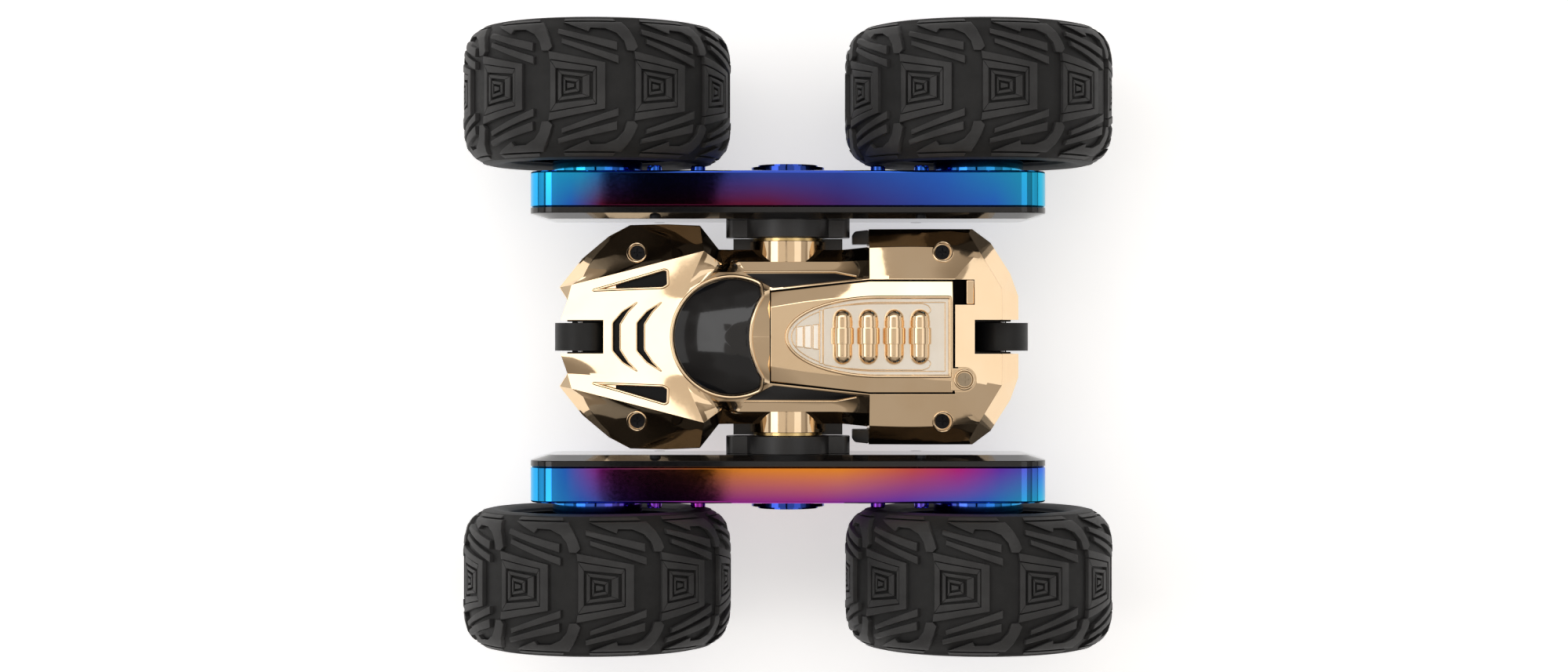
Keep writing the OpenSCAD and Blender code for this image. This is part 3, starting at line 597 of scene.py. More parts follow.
def shell_cage():
    """Half of the shell's outer skin: named corners, then faces by name. Mirrored over y = 0."""
    p = dict(
        # parting line, nose to tail
        a0=(86.4, 0, 0), a1=(86.2, 7, 0), a2=(83.9, 15, 0), a3=(86.6, 18.8, 0), a4=(78, 29.6, 0),
        a5=(67.8, 38, 0), a6=(59.6, 42.2, 0), am=(46, 42.5, 0), a7=(34.2, 42.4, 0), a8=(26.4, 33, 0),
        w1=(20.5, 32.7, 0), w2=(-20.5, 32.7, 0), wv=(-29.9, 33.6, 0), f1=(-30.6, 40.6, 0),
        ow=(-52, 40.7, 0), h1w=(-70, 40.7, 0), h2w=(-76.4, 35.4, 0), h3w=(-83.8, 23.8, 0),
        h4w=(-86.9, 15.3, 0), h5w=(-87, 0, 0),
        # top edge of the side wall
        b0=(86.4, 0, 8.5), b1=(86.4, 7, 8.2), b2=(84, 14, 7), b3=(87.3, 18.9, 4.2), b4=(78.5, 29.9, 4),
        b5=(68.4, 38.4, 4), b6=(60.2, 42.7, 4), bm=(46.5, 42.9, 7), c7=(33.4, 42.2, 11), b8=(26.3, 33.2, 9),
        # hood
        d0=(62, 0, 15.7), d1=(62, 7.5, 15.5), d2=(62, 15.2, 14.8), e0=(43.5, 0, 20.8), e1=(42.5, 8, 20.6),
        e2=(38.2, 17.6, 20.2),
        # fender: crest of the ridge, its chamfer, and the flank
        r0=(82.3, 19.7, 8.4), r1=(58, 25.6, 15.8), A=(31.6, 32.2, 22.5), s0=(77.8, 22.8, 9.2),
        s1=(57, 27.6, 14.4), t4=(75.1, 29, 7.4), t5=(69.3, 35.3, 6.2), m1=(55, 35.6, 9.2), m2=(40, 37, 14.6),
        # behind the fender
        M=(24.5, 27.1, 15), N=(26, 24.3, 20.4),
        # roof
        k0=(14.6, 0, 31), k1=(20, 10, 28.8), g1=(10.2, 16.4, 27.2), j0=(6.5, 0, 28), j1=(6.5, 17.8, 24.6),
        # shoulder, sill and waist
        E1=(15.8, 24.2, 21.6), E2=(-17.8, 24.2, 21.6), E3=(-25.8, 22.3, 23.4), E4=(-30.6, 21.7, 24.4),
        S1=(18.5, 28.2, 19.9), S2=(-18.5, 28.2, 19.9), T1=(21, 28.6, 13), T2=(-20.5, 28.6, 13),
        u1=(20.5, 33, 9.5), u2=(-20.5, 33, 9.5), V=(-29.9, 34, 10), X1=(-29.9, 28.8, 17.5),
        # rear fender
        F2=(-30.6, 40.8, 11), F3=(-30.6, 33.4, 21), Q1=(-51.5, 34.3, 18.6), P1=(-50, 21.7, 24.3),
        O1=(-52, 40.9, 10.5), G1=(-68.4, 39.3, 13), G2=(-72, 32.4, 18), G3=(-80.4, 18.2, 20.8),
        G4=(-80.6, 0, 21.4), L3=(-62.6, 21.7, 24), L4=(-62.6, 15, 25), L5=(-62.6, 0, 25.3),
        C4=(-30.6, 0, 26.6), C5=(-50, 0, 25.9),
        H1=(-70, 40.9, 9.5), H2=(-76.9, 35.7, 10.5), H3=(-84.3, 24, 11.5), H4=(-87.3, 15.5, 12),
        H5=(-87.4, 0, 12.5),
    )
    quads = """
        a0 a1 b1 b0 / a1 a2 b2 b1 / a2 a3 b3 b2 / a3 a4 b4 b3 / a4 a5 b5 b4 / a5 a6 b6 b5 / a6 am bm b6
        am a7 c7 bm / c7 a7 a8 b8 / A c7 b8 M / b0 b1 d1 d0 / b1 b2 d2 d1 / d0 d1 e1 e0 / d1 d2 e2 e1
        b2 b3 r0 / b2 r0 r1 d2 / d2 r1 A e2 / b3 b4 t4 s0 / b3 s0 r0 / b4 b5 t5 t4 / b5 b6 t5
        r0 s0 s1 r1 / r1 s1 A / s0 t4 t5 s1 / s1 t5 b6 m1 / m1 b6 bm m2 / s1 m1 m2 A / m2 bm c7 / A m2 c7
        A e2 N M / e0 e1 k1 k0 / e1 e2 N k1 / k1 N g1 k0 / g1 N E1 j1 / k0 g1 j1 j0 / j1 E1 E2 E3 E4
        N M S1 E1 / E1 S1 S2 E2 / S1 T1 T2 S2 / T1 u1 u2 T2 / u1 w1 w2 u2 / M T1 S1 / M b8 u1 T1
        b8 a8 w1 u1 / E2 S2 X1 E3 / E3 X1 E4 / S2 T2 u2 V X1 / u2 w2 wv V / E4 X1 F3 / X1 V F2 F3
        V wv f1 F2 / j0 j1 E4 C4 / C4 E4 P1 C5 / C5 P1 L3 L4 L5 / E4 F3 Q1 P1 / P1 Q1 G2 L3 / F3 F2 Q1
        F2 O1 Q1 / O1 G1 G2 Q1 / L3 G2 G3 L4 / L4 G3 G4 L5 / G1 H1 H2 G2 / G2 H2 H3 G3 / G3 H3 H4
        G3 H4 H5 G4 / O1 H1 G1 / f1 ow O1 F2 / ow h1w H1 O1 / h1w h2w H2 H1 / h2w h3w H3 H2
        h3w h4w H4 H3 / h4w h5w H5 H4
    """
    faces = [f.split() for line in quads.strip().splitlines() for f in line.split("/")]
    return p, faces


def both_halves(points, faces):
    """Points and faces of a half cage and its mirror image. mesh_object welds them where they meet."""
    names = list(points)
    flat = [points[n] for n in names] + [(x, -y, h) for x, y, h in (points[n] for n in names)]
    index = {n: i for i, n in enumerate(names)}
    left = [tuple(index[n] for n in f) for f in faces]
    right = [tuple(i + len(names) for i in reversed(f)) for f in left]
    return flat, left + right


def crease(obj, degrees):
    """Keeps the edges and corners sharper than this through subdivision."""
    mesh = obj.data
    edges = mesh.attributes.new("crease_edge", "FLOAT", "EDGE")
    corners = mesh.attributes.new("crease_vert", "FLOAT", "POINT")
    bm = bmesh.new()
    bm.from_mesh(mesh)
    limit = math.radians(degrees)
    sharp = {e.index for e in bm.edges if len(e.link_faces) < 2 or e.calc_face_angle(0) > limit}
    for i in sharp:
        edges.data[i].value = 1.0
    for v in bm.verts:
        met = [e for e in v.link_edges if e.index in sharp]
        if len(met) == 2:
            a, b = ((e.other_vert(v).co - v.co) for e in met)
            if a.angle(b, 0) < math.radians(140):
                corners.data[v.index].value = 1.0
    bm.free()
    return obj


def canopy_height(x, y):
    """The canopy climbs from the hood to the roof and falls away to both sides."""
    return 31.6 - 10.6 * ((x - 12) / 31.5) ** 2 - 7.6 * (y / 22) ** 2


CANOPY_X, CANOPY_R = 21, 22
# from the rim to the middle: (share of the outline's size, drop from the surface)
CANOPY_RINGS = [(1, 0.5), (0.985, 0.12)] + [(share, 0) for share in (0.96, 0.88, 0.76, 0.6, 0.42, 0.24, 0.08)]


def canopy_plan(grow=0.0):
    """A disc with its rear cut away by a hollow arc."""
    front = arc(CANOPY_X, 0, CANOPY_R + grow, -119, 119, 60)
    back = arc(-14.6, 0, 29.2 - grow, 32.5, -32.5, 20)
    return rounded(front[::2] + back, 1.2, 2)


LID_FRONT, LID_REAR = 6.5, -62.0
LID_BAY = [(LID_FRONT + 0.35, 17.35), (-30.5, 21.45), (LID_REAR - 0.6, 21.45)]  # half of the lid's opening
SCREW_TAB = (-66.0, 16.0, 4.2)  # x, y, radius
LATCH = [(-62.2, 12.0), (-70, 12.0), (-70, 21.5), (-62.2, 21.5)]  # on the right
BODY_SCREWS = [(57.3, 32, 3.3, 5.5), (-58.4, 32, 3.5, 12)]  # x, y, hole's radius, height of its floor
STRIP = [(15.7, 23.7), (-17.7, 23.7), (-25.2, 22.3), (-25.7, 21.9), (5.6, 18.3)]
STRIP_TRIM = [(16.6, 24.4), (-17.9, 24.4), (-25.7, 22.8)]
CRESCENT_FRONT = [(56.8, 13.1), (62.6, 9.6), (66.4, 5.3)]  # half of a hood vent's front edge
CRESCENT_REAR = [(60.4, 9.4), (63.4, 4.8)]  # half of its rear edge
CRESCENT_SHIFTS = (0, -9.3)  # both vents have one shape
FENDER_VENT = [(74.2, 17.6), (64.9, 20.1), (46.6, 25.3), (45.3, 24.9), (45.1, 19.6), (47, 18.5)]
VENT_SPLIT = 65.2  # gold in front of it, black behind it


def crescents():
    """Outlines of the two hood vents."""
    front = mirrored(CRESCENT_FRONT)
    rear = mirrored(CRESCENT_REAR[::-1])
    n = len(CRESCENT_REAR)
    for shift in CRESCENT_SHIFTS:
        yield [(x + shift, y) for x, y in front + rear[n:] + rear[:n]]


def hull(name, half):
    """The convex block around a half outline and its mirror image."""
    bm = bmesh.new()
    for x, y, h in half:
        for s in SIDES.values():
            bm.verts.new(at(x, s * y, h))
    bmesh.ops.convex_hull(bm, input=bm.verts)
    bmesh.ops.delete(bm, geom=[v for v in bm.verts if not v.link_faces], context="VERTS")
    mesh = bpy.data.meshes.new(name)
    bm.to_mesh(mesh)
    bm.free()
    return add_object(name, mesh)


def shell_hollows():
    """Blocks that leave the shell's wall standing."""
    front = [
        (84, 5, -9), (84, 5, 6.5), (81.8, 15, -9), (84.6, 18.8, -9), (84.6, 18.8, 2.6), (76.5, 28.4, -9),
        (76.5, 28.4, 2.4), (66.8, 36.6, -9), (66.8, 36.6, 2.4), (59, 40.6, -9), (59, 40.6, 2.4),
        (47, 41.2, -9), (47, 41.2, 5), (36, 40.8, -9), (36, 40.8, 9), (28.5, 32, -9), (28.5, 32, 7),
        (34, 31, 19.6), (57, 24.5, 12.8), (79, 18.5, 6.6), (28, 22, 18), (41, 12, 18), (60, 5, 13.2),
    ]
    middle = [
        (36, 31.4, -9), (36, 31.4, 7.6), (-36, 31.4, -9), (-36, 31.4, 7.6), (22, 26, 17), (-36, 26, 17),
        (20, 22.6, 19.8), (-36, 20.5, 22.4), (16, 14, 25), (-36, 8, 24.4), (8, 12, 25.6),
    ]
    rear = [
        (-32.2, 39, -9), (-32.2, 39, 10), (-69, 39.2, -9), (-69, 39.2, 8), (-75.2, 34.2, -9),
        (-75.2, 34.2, 8.6), (-82.4, 23, -9), (-82.4, 23, 9.6), (-85.4, 14, -9), (-85.4, 14, 10),
        (-32.2, 32.6, 18.4),
        (-68, 36, 12.6), (-70, 31, 16), (-78.6, 17.4, 18.6), (-32.2, 21, 22.2), (-62, 20, 22), (-60, 8, 23),
        (-78, 8, 19),
    ]
    return [hull("hollow", half) for half in (front, middle, rear)]


def solid_of(mesh, dh=0.0):
    """A new object with a copy of a mesh, raised by dh."""
    obj = add_object("solid", mesh.copy())
    obj.data.transform(Matrix.Translation((0, 0, dh * MM)))
    return obj


def bearing_bosses():
    """Half rings over the arms' bearings, above the parting line."""
    for s in SIDES.values():
        boss = lathe_y("boss", [(s * 26, 14.6), (s * 36.2, 14.6), (s * 36.4, 14.4)], (0, 0), 96)
        upper = on_side([(-20, 20), (20, 20), (20, 40), (-20, 40)], s)
        yield boolean(boss, prism("upper", upper, 0.02, 20), "INTERSECT")


def screw_posts(skin):
    """Posts down to the body screws, trimmed to the skin."""
    posts = []
    for x, y, r, _ in BODY_SCREWS:
        posts += [prism("post", circle(x, s * y, r + 1), 0.3, 30) for s in SIDES.values()]
    return boolean(join(posts), solid_of(skin), "INTERSECT")


def shell_openings():
    """Blocks that cut the shell's openings for the lid, canopy, vents, rollers, bearings and screws."""
    tab_x, tab_y, tab_r = SCREW_TAB
    cutters = [
        prism("bay", mirrored(LID_BAY), 14, 40),
        prism("canopy_hole", canopy_plan(0.2), 15, 45),
        prism("tab", circle(tab_x, tab_y, tab_r + 0.5), 22, 40),
        prism("neck", [(-60, 11.3), (-66, 11.3), (-66, 20.7), (-60, 20.7)], 22, 40),
        prism("latch", on_side(LATCH, -1), 19, 40),
    ]
    cutters += [prism("crescent", rounded(plan, 0.5, 2), 5, 40) for plan in crescents()]
    for near, far in ((69.9, 95), (-70, -95)):
        slot = [(near, 6.4), (far, 6.4), (far, -6.4), (near, -6.4)]
        cutters.append(prism("slot", slot, -10, 40))
    for s in SIDES.values():
        cutters.append(prism("vent", rounded(on_side(FENDER_VENT, s), 0.5, 2), 5, 40))
        cutters.append(lathe_y("bore", [(s * 20, 13.35), (s * 45, 13.35)], (0, 0), 96))
        cutters += [prism("hole", circle(x, s * y, r), floor, 40) for x, y, r, floor in BODY_SCREWS]
    return cutters


def close_holes(obj):
    """Fills a mesh's open rims, so that it is a solid."""
    bm = bmesh.new()
    bm.from_mesh(obj.data)
    bmesh.ops.holes_fill(bm, edges=[e for e in bm.edges if e.is_boundary], sides=0)
    bmesh.ops.recalc_face_normals(bm, faces=bm.faces)
    bm.to_mesh(obj.data)
    bm.free()


def upper_shell():
    """Gold body shell. Returns its outer skin as a surface and as a mesh, for what lies on it."""
    body = crease(mesh_object("gold_shell", *both_halves(*shell_cage())), 9)
    subdivide(body, 3)
    bevel(body, 0.35, 2, 14)
    close_holes(body)
    surface = Surface(body)
    skin = body.data.copy()
    for boss in bearing_bosses():
        boolean(body, boss, "UNION")
    cut(body, shell_hollows())
    boolean(body, screw_posts(skin), "UNION")
    cut(body, shell_openings())
    smooth(body, 24)
    place(body, "car_body", "gold_shell", GOLD, "upper_shell")
    return surface, skin


SHELL, SKIN = upper_shell()


# -------------------- what lies on the shell


def patch(name, plan, lift, depth):
    """A piece of the skin over a plan, raised by lift, with this depth of material."""
    piece = prism(name, plan, 2, 60)
    boolean(piece, solid_of(SKIN, lift), "INTERSECT")
    return boolean(piece, solid_of(SKIN, lift - depth))


def side_strips():
    """Black strips along the lid, with a gold trim along their outer edges."""
    strips, trims = [], []
    for s in SIDES.values():
        strips.append(patch("strip", on_side(STRIP, s), 0.25, 1.4))
        path = [(x, y, SHELL.height(x, y) + 0.05) for x, y in on_side(STRIP_TRIM, s)]
        trims.append(bead("trim", path, 0.35, closed=False))
    strips = bevel(join(strips, "gloss_strips"), 0.25, 2, 40)
    place(smooth(strips, 35), "car_body", "black_gloss", GLOSS, "side_strips")
    place(join(trims), "car_body", "gold_shell", GOLD)


def hood_vents():
    """Black crescents let into the hood, each in a gold lip."""
    inserts, lips = [], []
    for plan in crescents():
        plan = rounded(plan, 0.5, 2)
        inserts.append(patch("hood_insert", plan, -0.8, 1.1))
        lips.append(draped_bead("lip", SHELL, plan, 0.3))
    inserts = join(inserts, "hood_vent_inserts")
    place(smooth(inserts, 35), "car_body", "black_shell", VENT, "hood_vents")
    place(join(lips, "hood_vent_lips"), "car_body", "gold_shell", GOLD)


def fender_vents():
    """Vents with a gold floor in front and a black insert behind it, in a gold rim."""
    inserts, golds = [], []
    for s in SIDES.values():
        plan = rounded(on_side(FENDER_VENT, s), 0.5, 2)
        rear, front = (on_side([(VENT_SPLIT, 10), (x, 10), (x, 30), (VENT_SPLIT, 30)], s) for x in (40, 80))
        insert = patch("fender_insert", plan, -1.0, 1.2)
        floor = patch("fender_floor", plan, -0.7, 1.5)
        inserts.append(boolean(insert, prism("rear", rear, 0, 40), "INTERSECT"))
        golds.append(boolean(floor, prism("front", front, 0, 40), "INTERSECT"))
        golds.append(draped_bead("rim", SHELL, plan, 0.55, 0.05))
    inserts = join(inserts, "fender_vent_inserts")
    place(smooth(inserts, 35), "car_body", "black_gloss", VENT, "fender_vents")
    golds = join(golds, "fender_vent_rims")
    place(smooth(golds, 40), "car_body", "gold_shell", GOLD)


def canopy_ring(plan, drop):
    """An outline laid this far below the canopy's surface."""
    return [(x, y, canopy_height(x, y) - drop) for x, y in plan]


def canopy():
    """Tinted dome in its gold rim."""
    plan = canopy_plan()
    middle = Vector((25, 0))
    rings = [[(x, y, 20.6) for x, y in plan]]
    for share, drop in CANOPY_RINGS:
        rings.append(canopy_ring([middle.lerp(Vector(p), share) for p in plan], drop))
    dome = loft("canopy_dome", rings)
    place(smooth(dome, 40), "car_body", "black_gloss", GLOSS, "canopy")
    rim = bead("canopy_rim", canopy_ring(resampled(canopy_plan(0.75), 0.8), 0.3), 0.75)
    foot = [(x, y, 20.5) for x, y in canopy_plan(0.35)]
    skirt = loft("canopy_skirt", [canopy_ring(canopy_plan(0.35), 0.3), foot])
    boolean(skirt, prism("inside", canopy_plan(0.1), 15, 45))
    collar = loft("canopy_collar", [canopy_ring(canopy_plan(0.8), 0.3), canopy_ring(canopy_plan(2.2), 4.5)])
    boolean(collar, prism("inside", canopy_plan(0.3), 10, 45))
    place(smooth(join([rim, skirt, collar]), 50), "car_body", "gold_shell", GOLD)


def screw_hole_rims():
    rims = []
    for x, y, r, _ in BODY_SCREWS:
        rims += [draped_bead("rim", SHELL, circle(x, s * y, r + 0.25, 36), 0.4) for s in SIDES.values()]
    place(join(rims, "screw_hole_rims"), "car_body", "gold_shell", GOLD)


side_strips()
hood_vents()
fender_vents()
canopy()
screw_hole_rims()


# -------------------- battery lid


LID_TOP = 27.5  # at the front edge
LID_FALL = 2.2  # from there to the rear edge
LID_FLAT = 14.8  # half width of the flat middle at the rear
# (x, half width, half width of the flat middle, drop at the edges)
LID_RINGS = [
    (LID_FRONT, 16.7, 11, 3), (-6, 18.12, 13, 2.4), (-18, 19.48, 14.3, 1.9), (-30.5, 20.9, LID_FLAT, 1.6),
    (LID_REAR + 0.2, 20.9, LID_FLAT, 1.6),
]
# the panel's pocket: its half ellipse starts at ARCH_X
ARCH_X, ARCH_REAR, ARCH_LENGTH, ARCH_HALF = -34.5, -60.2, 34.6, 14.3
ARCH_DEPTH = 1.1
STEP_BED = [
    (-13.2, 10.4), (-20, 11.6), (-30, 12.3), (-50.5, 12.4), (-52.6, 11.6), (-53.6, 9.8), (-51.4, 7.6),
    (-51.2, 4),
]
STEP_BAR = [(-11.9, 9.9), (-12.9, 9.9), (-12.9, -9.9), (-11.9, -9.9)]
LOUVRES = [(-4.4, 2.4, 3.6), (-7.4, 2.4, 4.0), (-10.4, 2.0, 4.4)]  # x, width and half length
STACKS, STACK_PITCH, STACK_R, STACK_HALF = 4, 9.65, 3.75, 10.5


def lid_top(x):
    """Height of the lid's flat middle."""
    return LID_TOP - LID_FALL * (LID_FRONT - x) / (LID_FRONT - LID_REAR)


def over_lid(lift):
    """Height as a function of x and y, at a constant lift from the lid's flat middle."""
    return lambda x, y: lid_top(x) + lift


def arch_plan(grow=0.0):
    """Half ellipse that runs back to a straight rear edge."""
    turn = [math.pi / 2 * (1 - i / 24) for i in range(25)]
    front = [(ARCH_X + (ARCH_LENGTH + grow) * math.cos(a), (ARCH_HALF + grow) * math.sin(a)) for a in turn]
    return mirrored([(ARCH_REAR - grow, ARCH_HALF + grow)] + front)


def battery_lid():
    """Lid that falls towards the rear, with the panel's pocket and a tab for the screw."""
    rings = []
    for x, half, flat, drop in LID_RINGS:
        top = lid_top(x)
        edge = top - drop
        rings.append([
            (x, -half, edge - 2), (x, -half, edge), (x, -flat, top), (x, flat, top), (x, half, edge),
            (x, half, edge - 2), (x, flat, top - 3.6), (x, -flat, top - 3.6),
        ])
    lid = loft("gold_lid", rings)
    bevel(lid, 0.35, 2, 15)
    boolean(lid, prism("pocket", arch_plan(), over_lid(-ARCH_DEPTH), 40))
    x, y, r = SCREW_TAB
    neck = -61
    end = arc(x, y, r, -90, -270, 24)[1:-1]
    tab = prism("tab", [(neck, y - r), (x, y - r)] + end + [(x, y + r), (neck, y + r)], 23.1, 24.9)
    boolean(lid, bevel(tab, 0.3, 2, 40), "UNION")
    boolean(lid, prism("screw_hole", circle(x, y, 1.5, 24), 20, 30))
    place(smooth(lid, 24), "battery_door", "gold_shell", GOLD, "battery_lid")
    trims = [
        bead("arch_rim", [(px, py, lid_top(px) + 0.1) for px, py in resampled(arch_plan(0.5), 0.9)], 0.65),
        bead("tab_rim", [(px, py, 25.1) for px, py in circle(x, y, 3.5, 36)], 0.5),
    ]
    place(join(trims, "lid_rims"), "battery_door", "gold_shell", GOLD)


def louvre(x, wide, half):
    """A slat's outline, and its top, which climbs towards the front."""
    front, rear = x + wide / 2, x - wide / 2
    plan = [(front, half), (rear, half + 0.3), (rear, -half - 0.3), (front, -half)]
    return plan, lambda px, py: lid_top(px) - 0.15 + 0.5 * (px - x) / wide


def engine_panel():
    """Plate in the lid's pocket with louvres and a raised bed under the stacks, all with bright edges."""
    floor = over_lid(-ARCH_DEPTH + 0.02)
    raised = [(rounded(mirrored(STEP_BED), 0.8, 3), over_lid(-0.05)), (STEP_BAR, over_lid(0.35))]
    raised += [louvre(*sizes) for sizes in LOUVRES]
    parts = [prism("panel", arch_plan(-0.1), floor, over_lid(-0.55))]
    edges = [bead("edge", [(x, y, lid_top(x) - 0.5) for x, y in resampled(arch_plan(-1.4), 0.9)], 0.22)]
    for plan, top in raised:
        parts.append(bevel(prism("step", plan, floor, top), 0.2, 2, 40))
        edges.append(bead("edge", [(x, y, top(x, y) - 0.08) for x, y in resampled(plan, 0.9)], 0.2))
    place(smooth(join(parts, "panel"), 30), "battery_door", "gold_panel", PANEL_GOLD, "engine_panel")
    place(join(edges, "panel_edges"), "battery_door", "gold_panel", GOLD)


def lid_catch():
    """Plated catch across the rear of the finger notch."""
    rear, near, far = -69.9, -12.1, -21.4
    bar = prism("catch_bar", [(rear + 3, near), (rear, near), (rear, far), (rear + 3, far)], 19.2, 22.4)
    place(smooth(bevel(bar, 0.5, 3, 40), 35), "car_body", "gold_shell", GOLD)


def intake_stacks():
    """Capsules with a band around the middle and a window beside it, lying across the lid."""
    r = STACK_R
    first = size_of("intake_stacks")[1].x - 4.25
    turn = [math.radians(90 - 15 * k) for k in range(7)]
    dome = [(STACK_HALF - r + r * math.sin(a), max(r * math.cos(a), 0.02)) for a in turn[::-1]]
    capsule = other_half(dome) + dome
    low, edge, high = r - 0.2, r + 0.45, r + 0.6
    band = [(-3.5, low), (-3.4, edge), (-2.9, high), (2.3, high), (2.8, edge), (2.9, low)]
    window = [(-6.2, r - 0.4), (-6.1, r + 0.15), (-4, r + 0.15), (-3.9, r - 0.4)]
    parts = []
    for i in range(STACKS):
        x = first - STACK_PITCH * i
        for profile in (capsule, band, window):
            part = lathe_y("stack", profile, (x, lid_top(x) - 0.35), 48)
            above = prism("above", [(5, -15), (5, 15), (-60, 15), (-60, -15)], over_lid(-0.4), 60)
            parts.append(boolean(part, above, "INTERSECT"))
    stacks = join(parts, "capsules")
    place(smooth(stacks, 35), "battery_door", "gold_shell", GOLD, "intake_stacks")


battery_lid()
engine_panel()
lid_catch()
intake_stacks()


# -------------------- chassis


def corner_blocks():
    """Black corners of the chassis that show in front of the rear fenders."""
    front, rear, inner = -24.6, -30.5, 35.4
    blocks = []
    for s in SIDES.values():
        plan = [(front, inner), (front, 39), (front - 1, 40.2), (rear, 40.6), (rear, inner)]
        blocks.append(prism("block", on_side(plan, s), -6, lambda x, y: 4.5 + (front - x) * 0.9))
    blocks = bevel(join(blocks, "corner_blocks"), 0.4, 2, 30)
    place(smooth(blocks, 30), "car_body", "black_shell", SATIN)


corner_blocks()


# -------------------- arms


ARM_HALF, ARM_HALF_HEIGHT, ARM_CORNER = 97.5, 24, 11.0
AXLE_BORE_R = 2.08
BOLTS = [(x, h) for x in (34, 50.5) for h in (-14, 14)]


def slab_ring(y, inset, steps=8):
    """The arm's outline at a distance from the middle of the car."""
    half_l, half_h, r = ARM_HALF - inset, ARM_HALF_HEIGHT - inset, ARM_CORNER - inset
    ring = []
    for cx, ch, start in ((1, 1, 0), (-1, 1, 90), (-1, -1, 180), (1, -1, 270)):
        corner = arc(cx * (half_l - r), ch * (half_h - r), r, start, start + 90, steps)
        ring += [(px, y, ph) for px, ph in corner]
    return ring


def slab(name, s, sections):
    """A rounded block across an arm. Sections are (distance out, inset)."""
    return loft(name, [slab_ring(s * y, inset) for y, inset in sections])


def turned(name, s, profile, x, h=0, steps=24):
    """A part turned about an axis across the arm at (x, h). The profile is (distance out, radius)."""
    return lathe_y(name, [(s * y, r) for y, r in profile], (x, h), steps)


def arm_outer_shell(side):
    """Plated shell with a boss at each wheel and the heads of the bolts that close it."""
    s = SIDES[side]
    sections = [(49.05, 0.45), (49.35, 0.05), (49.6, 0), (61.5, 0), (62.1, 0.25), (62.4, 0.7), (62.5, 1.3)]
    outer = slab("arm_plated_" + side, s, sections)
    boss = [(60, 17.2), (68.4, 17.2), (68.85, 16.9), (69, 16.4)]
    bolt = [(60, 2.8), (64.2, 2.8), (64.6, 2.5), (64.7, 2.0)]
    for e in ENDS.values():
        boolean(outer, turned("boss", s, boss, e * AXLE_X, 0, 72), "UNION")
        for x, h in BOLTS:
            boolean(outer, turned("bolt", s, bolt, e * x, h, 32), "UNION")
    cutters = [slab("hollow", s, [(48, 1.7), (60.8, 1.7)])]
    for e in ENDS.values():
        cutters.append(turned("well", s, [(60, 15.5), (67.4, 15.5)], e * AXLE_X, 0, 48))
        cutters.append(turned("bore", s, [(50, AXLE_BORE_R), (72, AXLE_BORE_R)], e * AXLE_X))
    cut(outer, cutters)
    place(smooth(outer, 24), side + "_arm", "arm_plating", IRIDESCENT[side], "arm_outer_shell_" + side)


def arm_inner_shell(side):
    """Black shell on the car's side of an arm, with a hole for the motor."""
    s = SIDES[side]
    sections = [(44.5, 7), (44.62, 6.6), (46.5, 0.15), (46.75, 0), (48.6, 0), (48.9, 0.3), (48.95, 0.6)]
    inner = slab("arm_gloss_" + side, s, sections)
    cutters = [
        slab("hollow", s, [(46.1, 6), (50, 6)]),
        turned("motor_hole", s, [(40, 10.2), (50, 10.2)], 0, 0, 64),
    ]
    bore = [(44.9, AXLE_BORE_R), (50, AXLE_BORE_R)]
    cutters += [turned("bore", s, bore, e * AXLE_X) for e in ENDS.values()]
    cut(inner, cutters)
    place(smooth(inner, 24), side + "_arm", "black_gloss", GLOSS, "arm_inner_shell_" + side)


for side in SIDES:
    arm_outer_shell(side)
    arm_inner_shell(side)


# -------------------- tyres


TYRE_R = 51.25
TREADS = 10  # repeats around a tyre
PITCH = 2 * math.pi * TYRE_R / TREADS
# how far each tyre's tread is turned, in millimetres along its top
TREAD_PHASE = {
    ("front", "right"): -6.8, ("rear", "right"): 5.6, ("front", "left"): 3.9, ("rear", "left"): -12.6
}
# profiles as (distance from a tyre's middle, radius), CROWN over the blocks
CROWN = [(0, TYRE_R), (12, 51.1), (16, 50.7), (20, 49.6), (22.5, 47.9), (24, 46.3), (25.4, 43.6)]
LUG = 1.7  # height of the tread's blocks
SIDEWALL = [(25.6, 43.6), (26.2, 41), (26.2, 38.6), (25.5, 36), (24.6, 34.6), (23.6, 34.2), (23.2, 33.1)]
INSIDE = [(20.6, 33.1), (20.8, 35), (23.3, 38), (23.3, 41), (21.5, 44.6), (17, 46.6), (8, 47.6)]
# One repeat of the tread, with points as (towards the rear, across): a frame, rings inside it, a stud in their
# middle. A ring runs between two trapezoids: (front, rear, half height in front, half height behind).
FRAME = [
    (-8.2, 12.8), (13.2, 8.5), (13.2, -8.5), (-8.2, -12.8), (-7.8, -9.8), (10, -6.9), (10, 6.9), (-7.8, 9.8)
]
RINGS = [
    ((-7.6, 9.8, 9.5, 6.7), (-5.4, 8.6, 6.4, 5.0)),
    ((-4.5, 7.4, 5.6, 4.1), (-3.1, 4.7, 4.1, 3.1)),
    ((-2.4, 3.6, 3.2, 2.2), (-1.6, 2.4, 1.9, 1.2)),
]
STUD = [(-1.0, 1.1), (1.7, 0.6), (1.7, -0.6), (-1.0, -1.1)]
RING_DROP = 0.3
SHOULDER = [
    [(-3.2, 15.6), (18.1, 8.1), (18.1, 11.0), (-3.2, 17.4)],
    [(-4.9, 19.2), (17.6, 12.9), (17.6, 16.1), (-4.9, 21.0)],
    [(-8.2, 12.8), (-6.7, 14.3), (-7.9, 17.5), (-9.8, 20.8), (-12.2, 23.7), (-36.0, 23.7), (-25.3, 19.8),
     (-24.6, 21.3), (-19, 21.1), (-14.6, 19.3), (-12, 16.4), (-10.9, 12.9)],
    [(-14.5, 24.2), (-36, 24.2), (-36, 25.4), (-15.5, 25.4)],
]


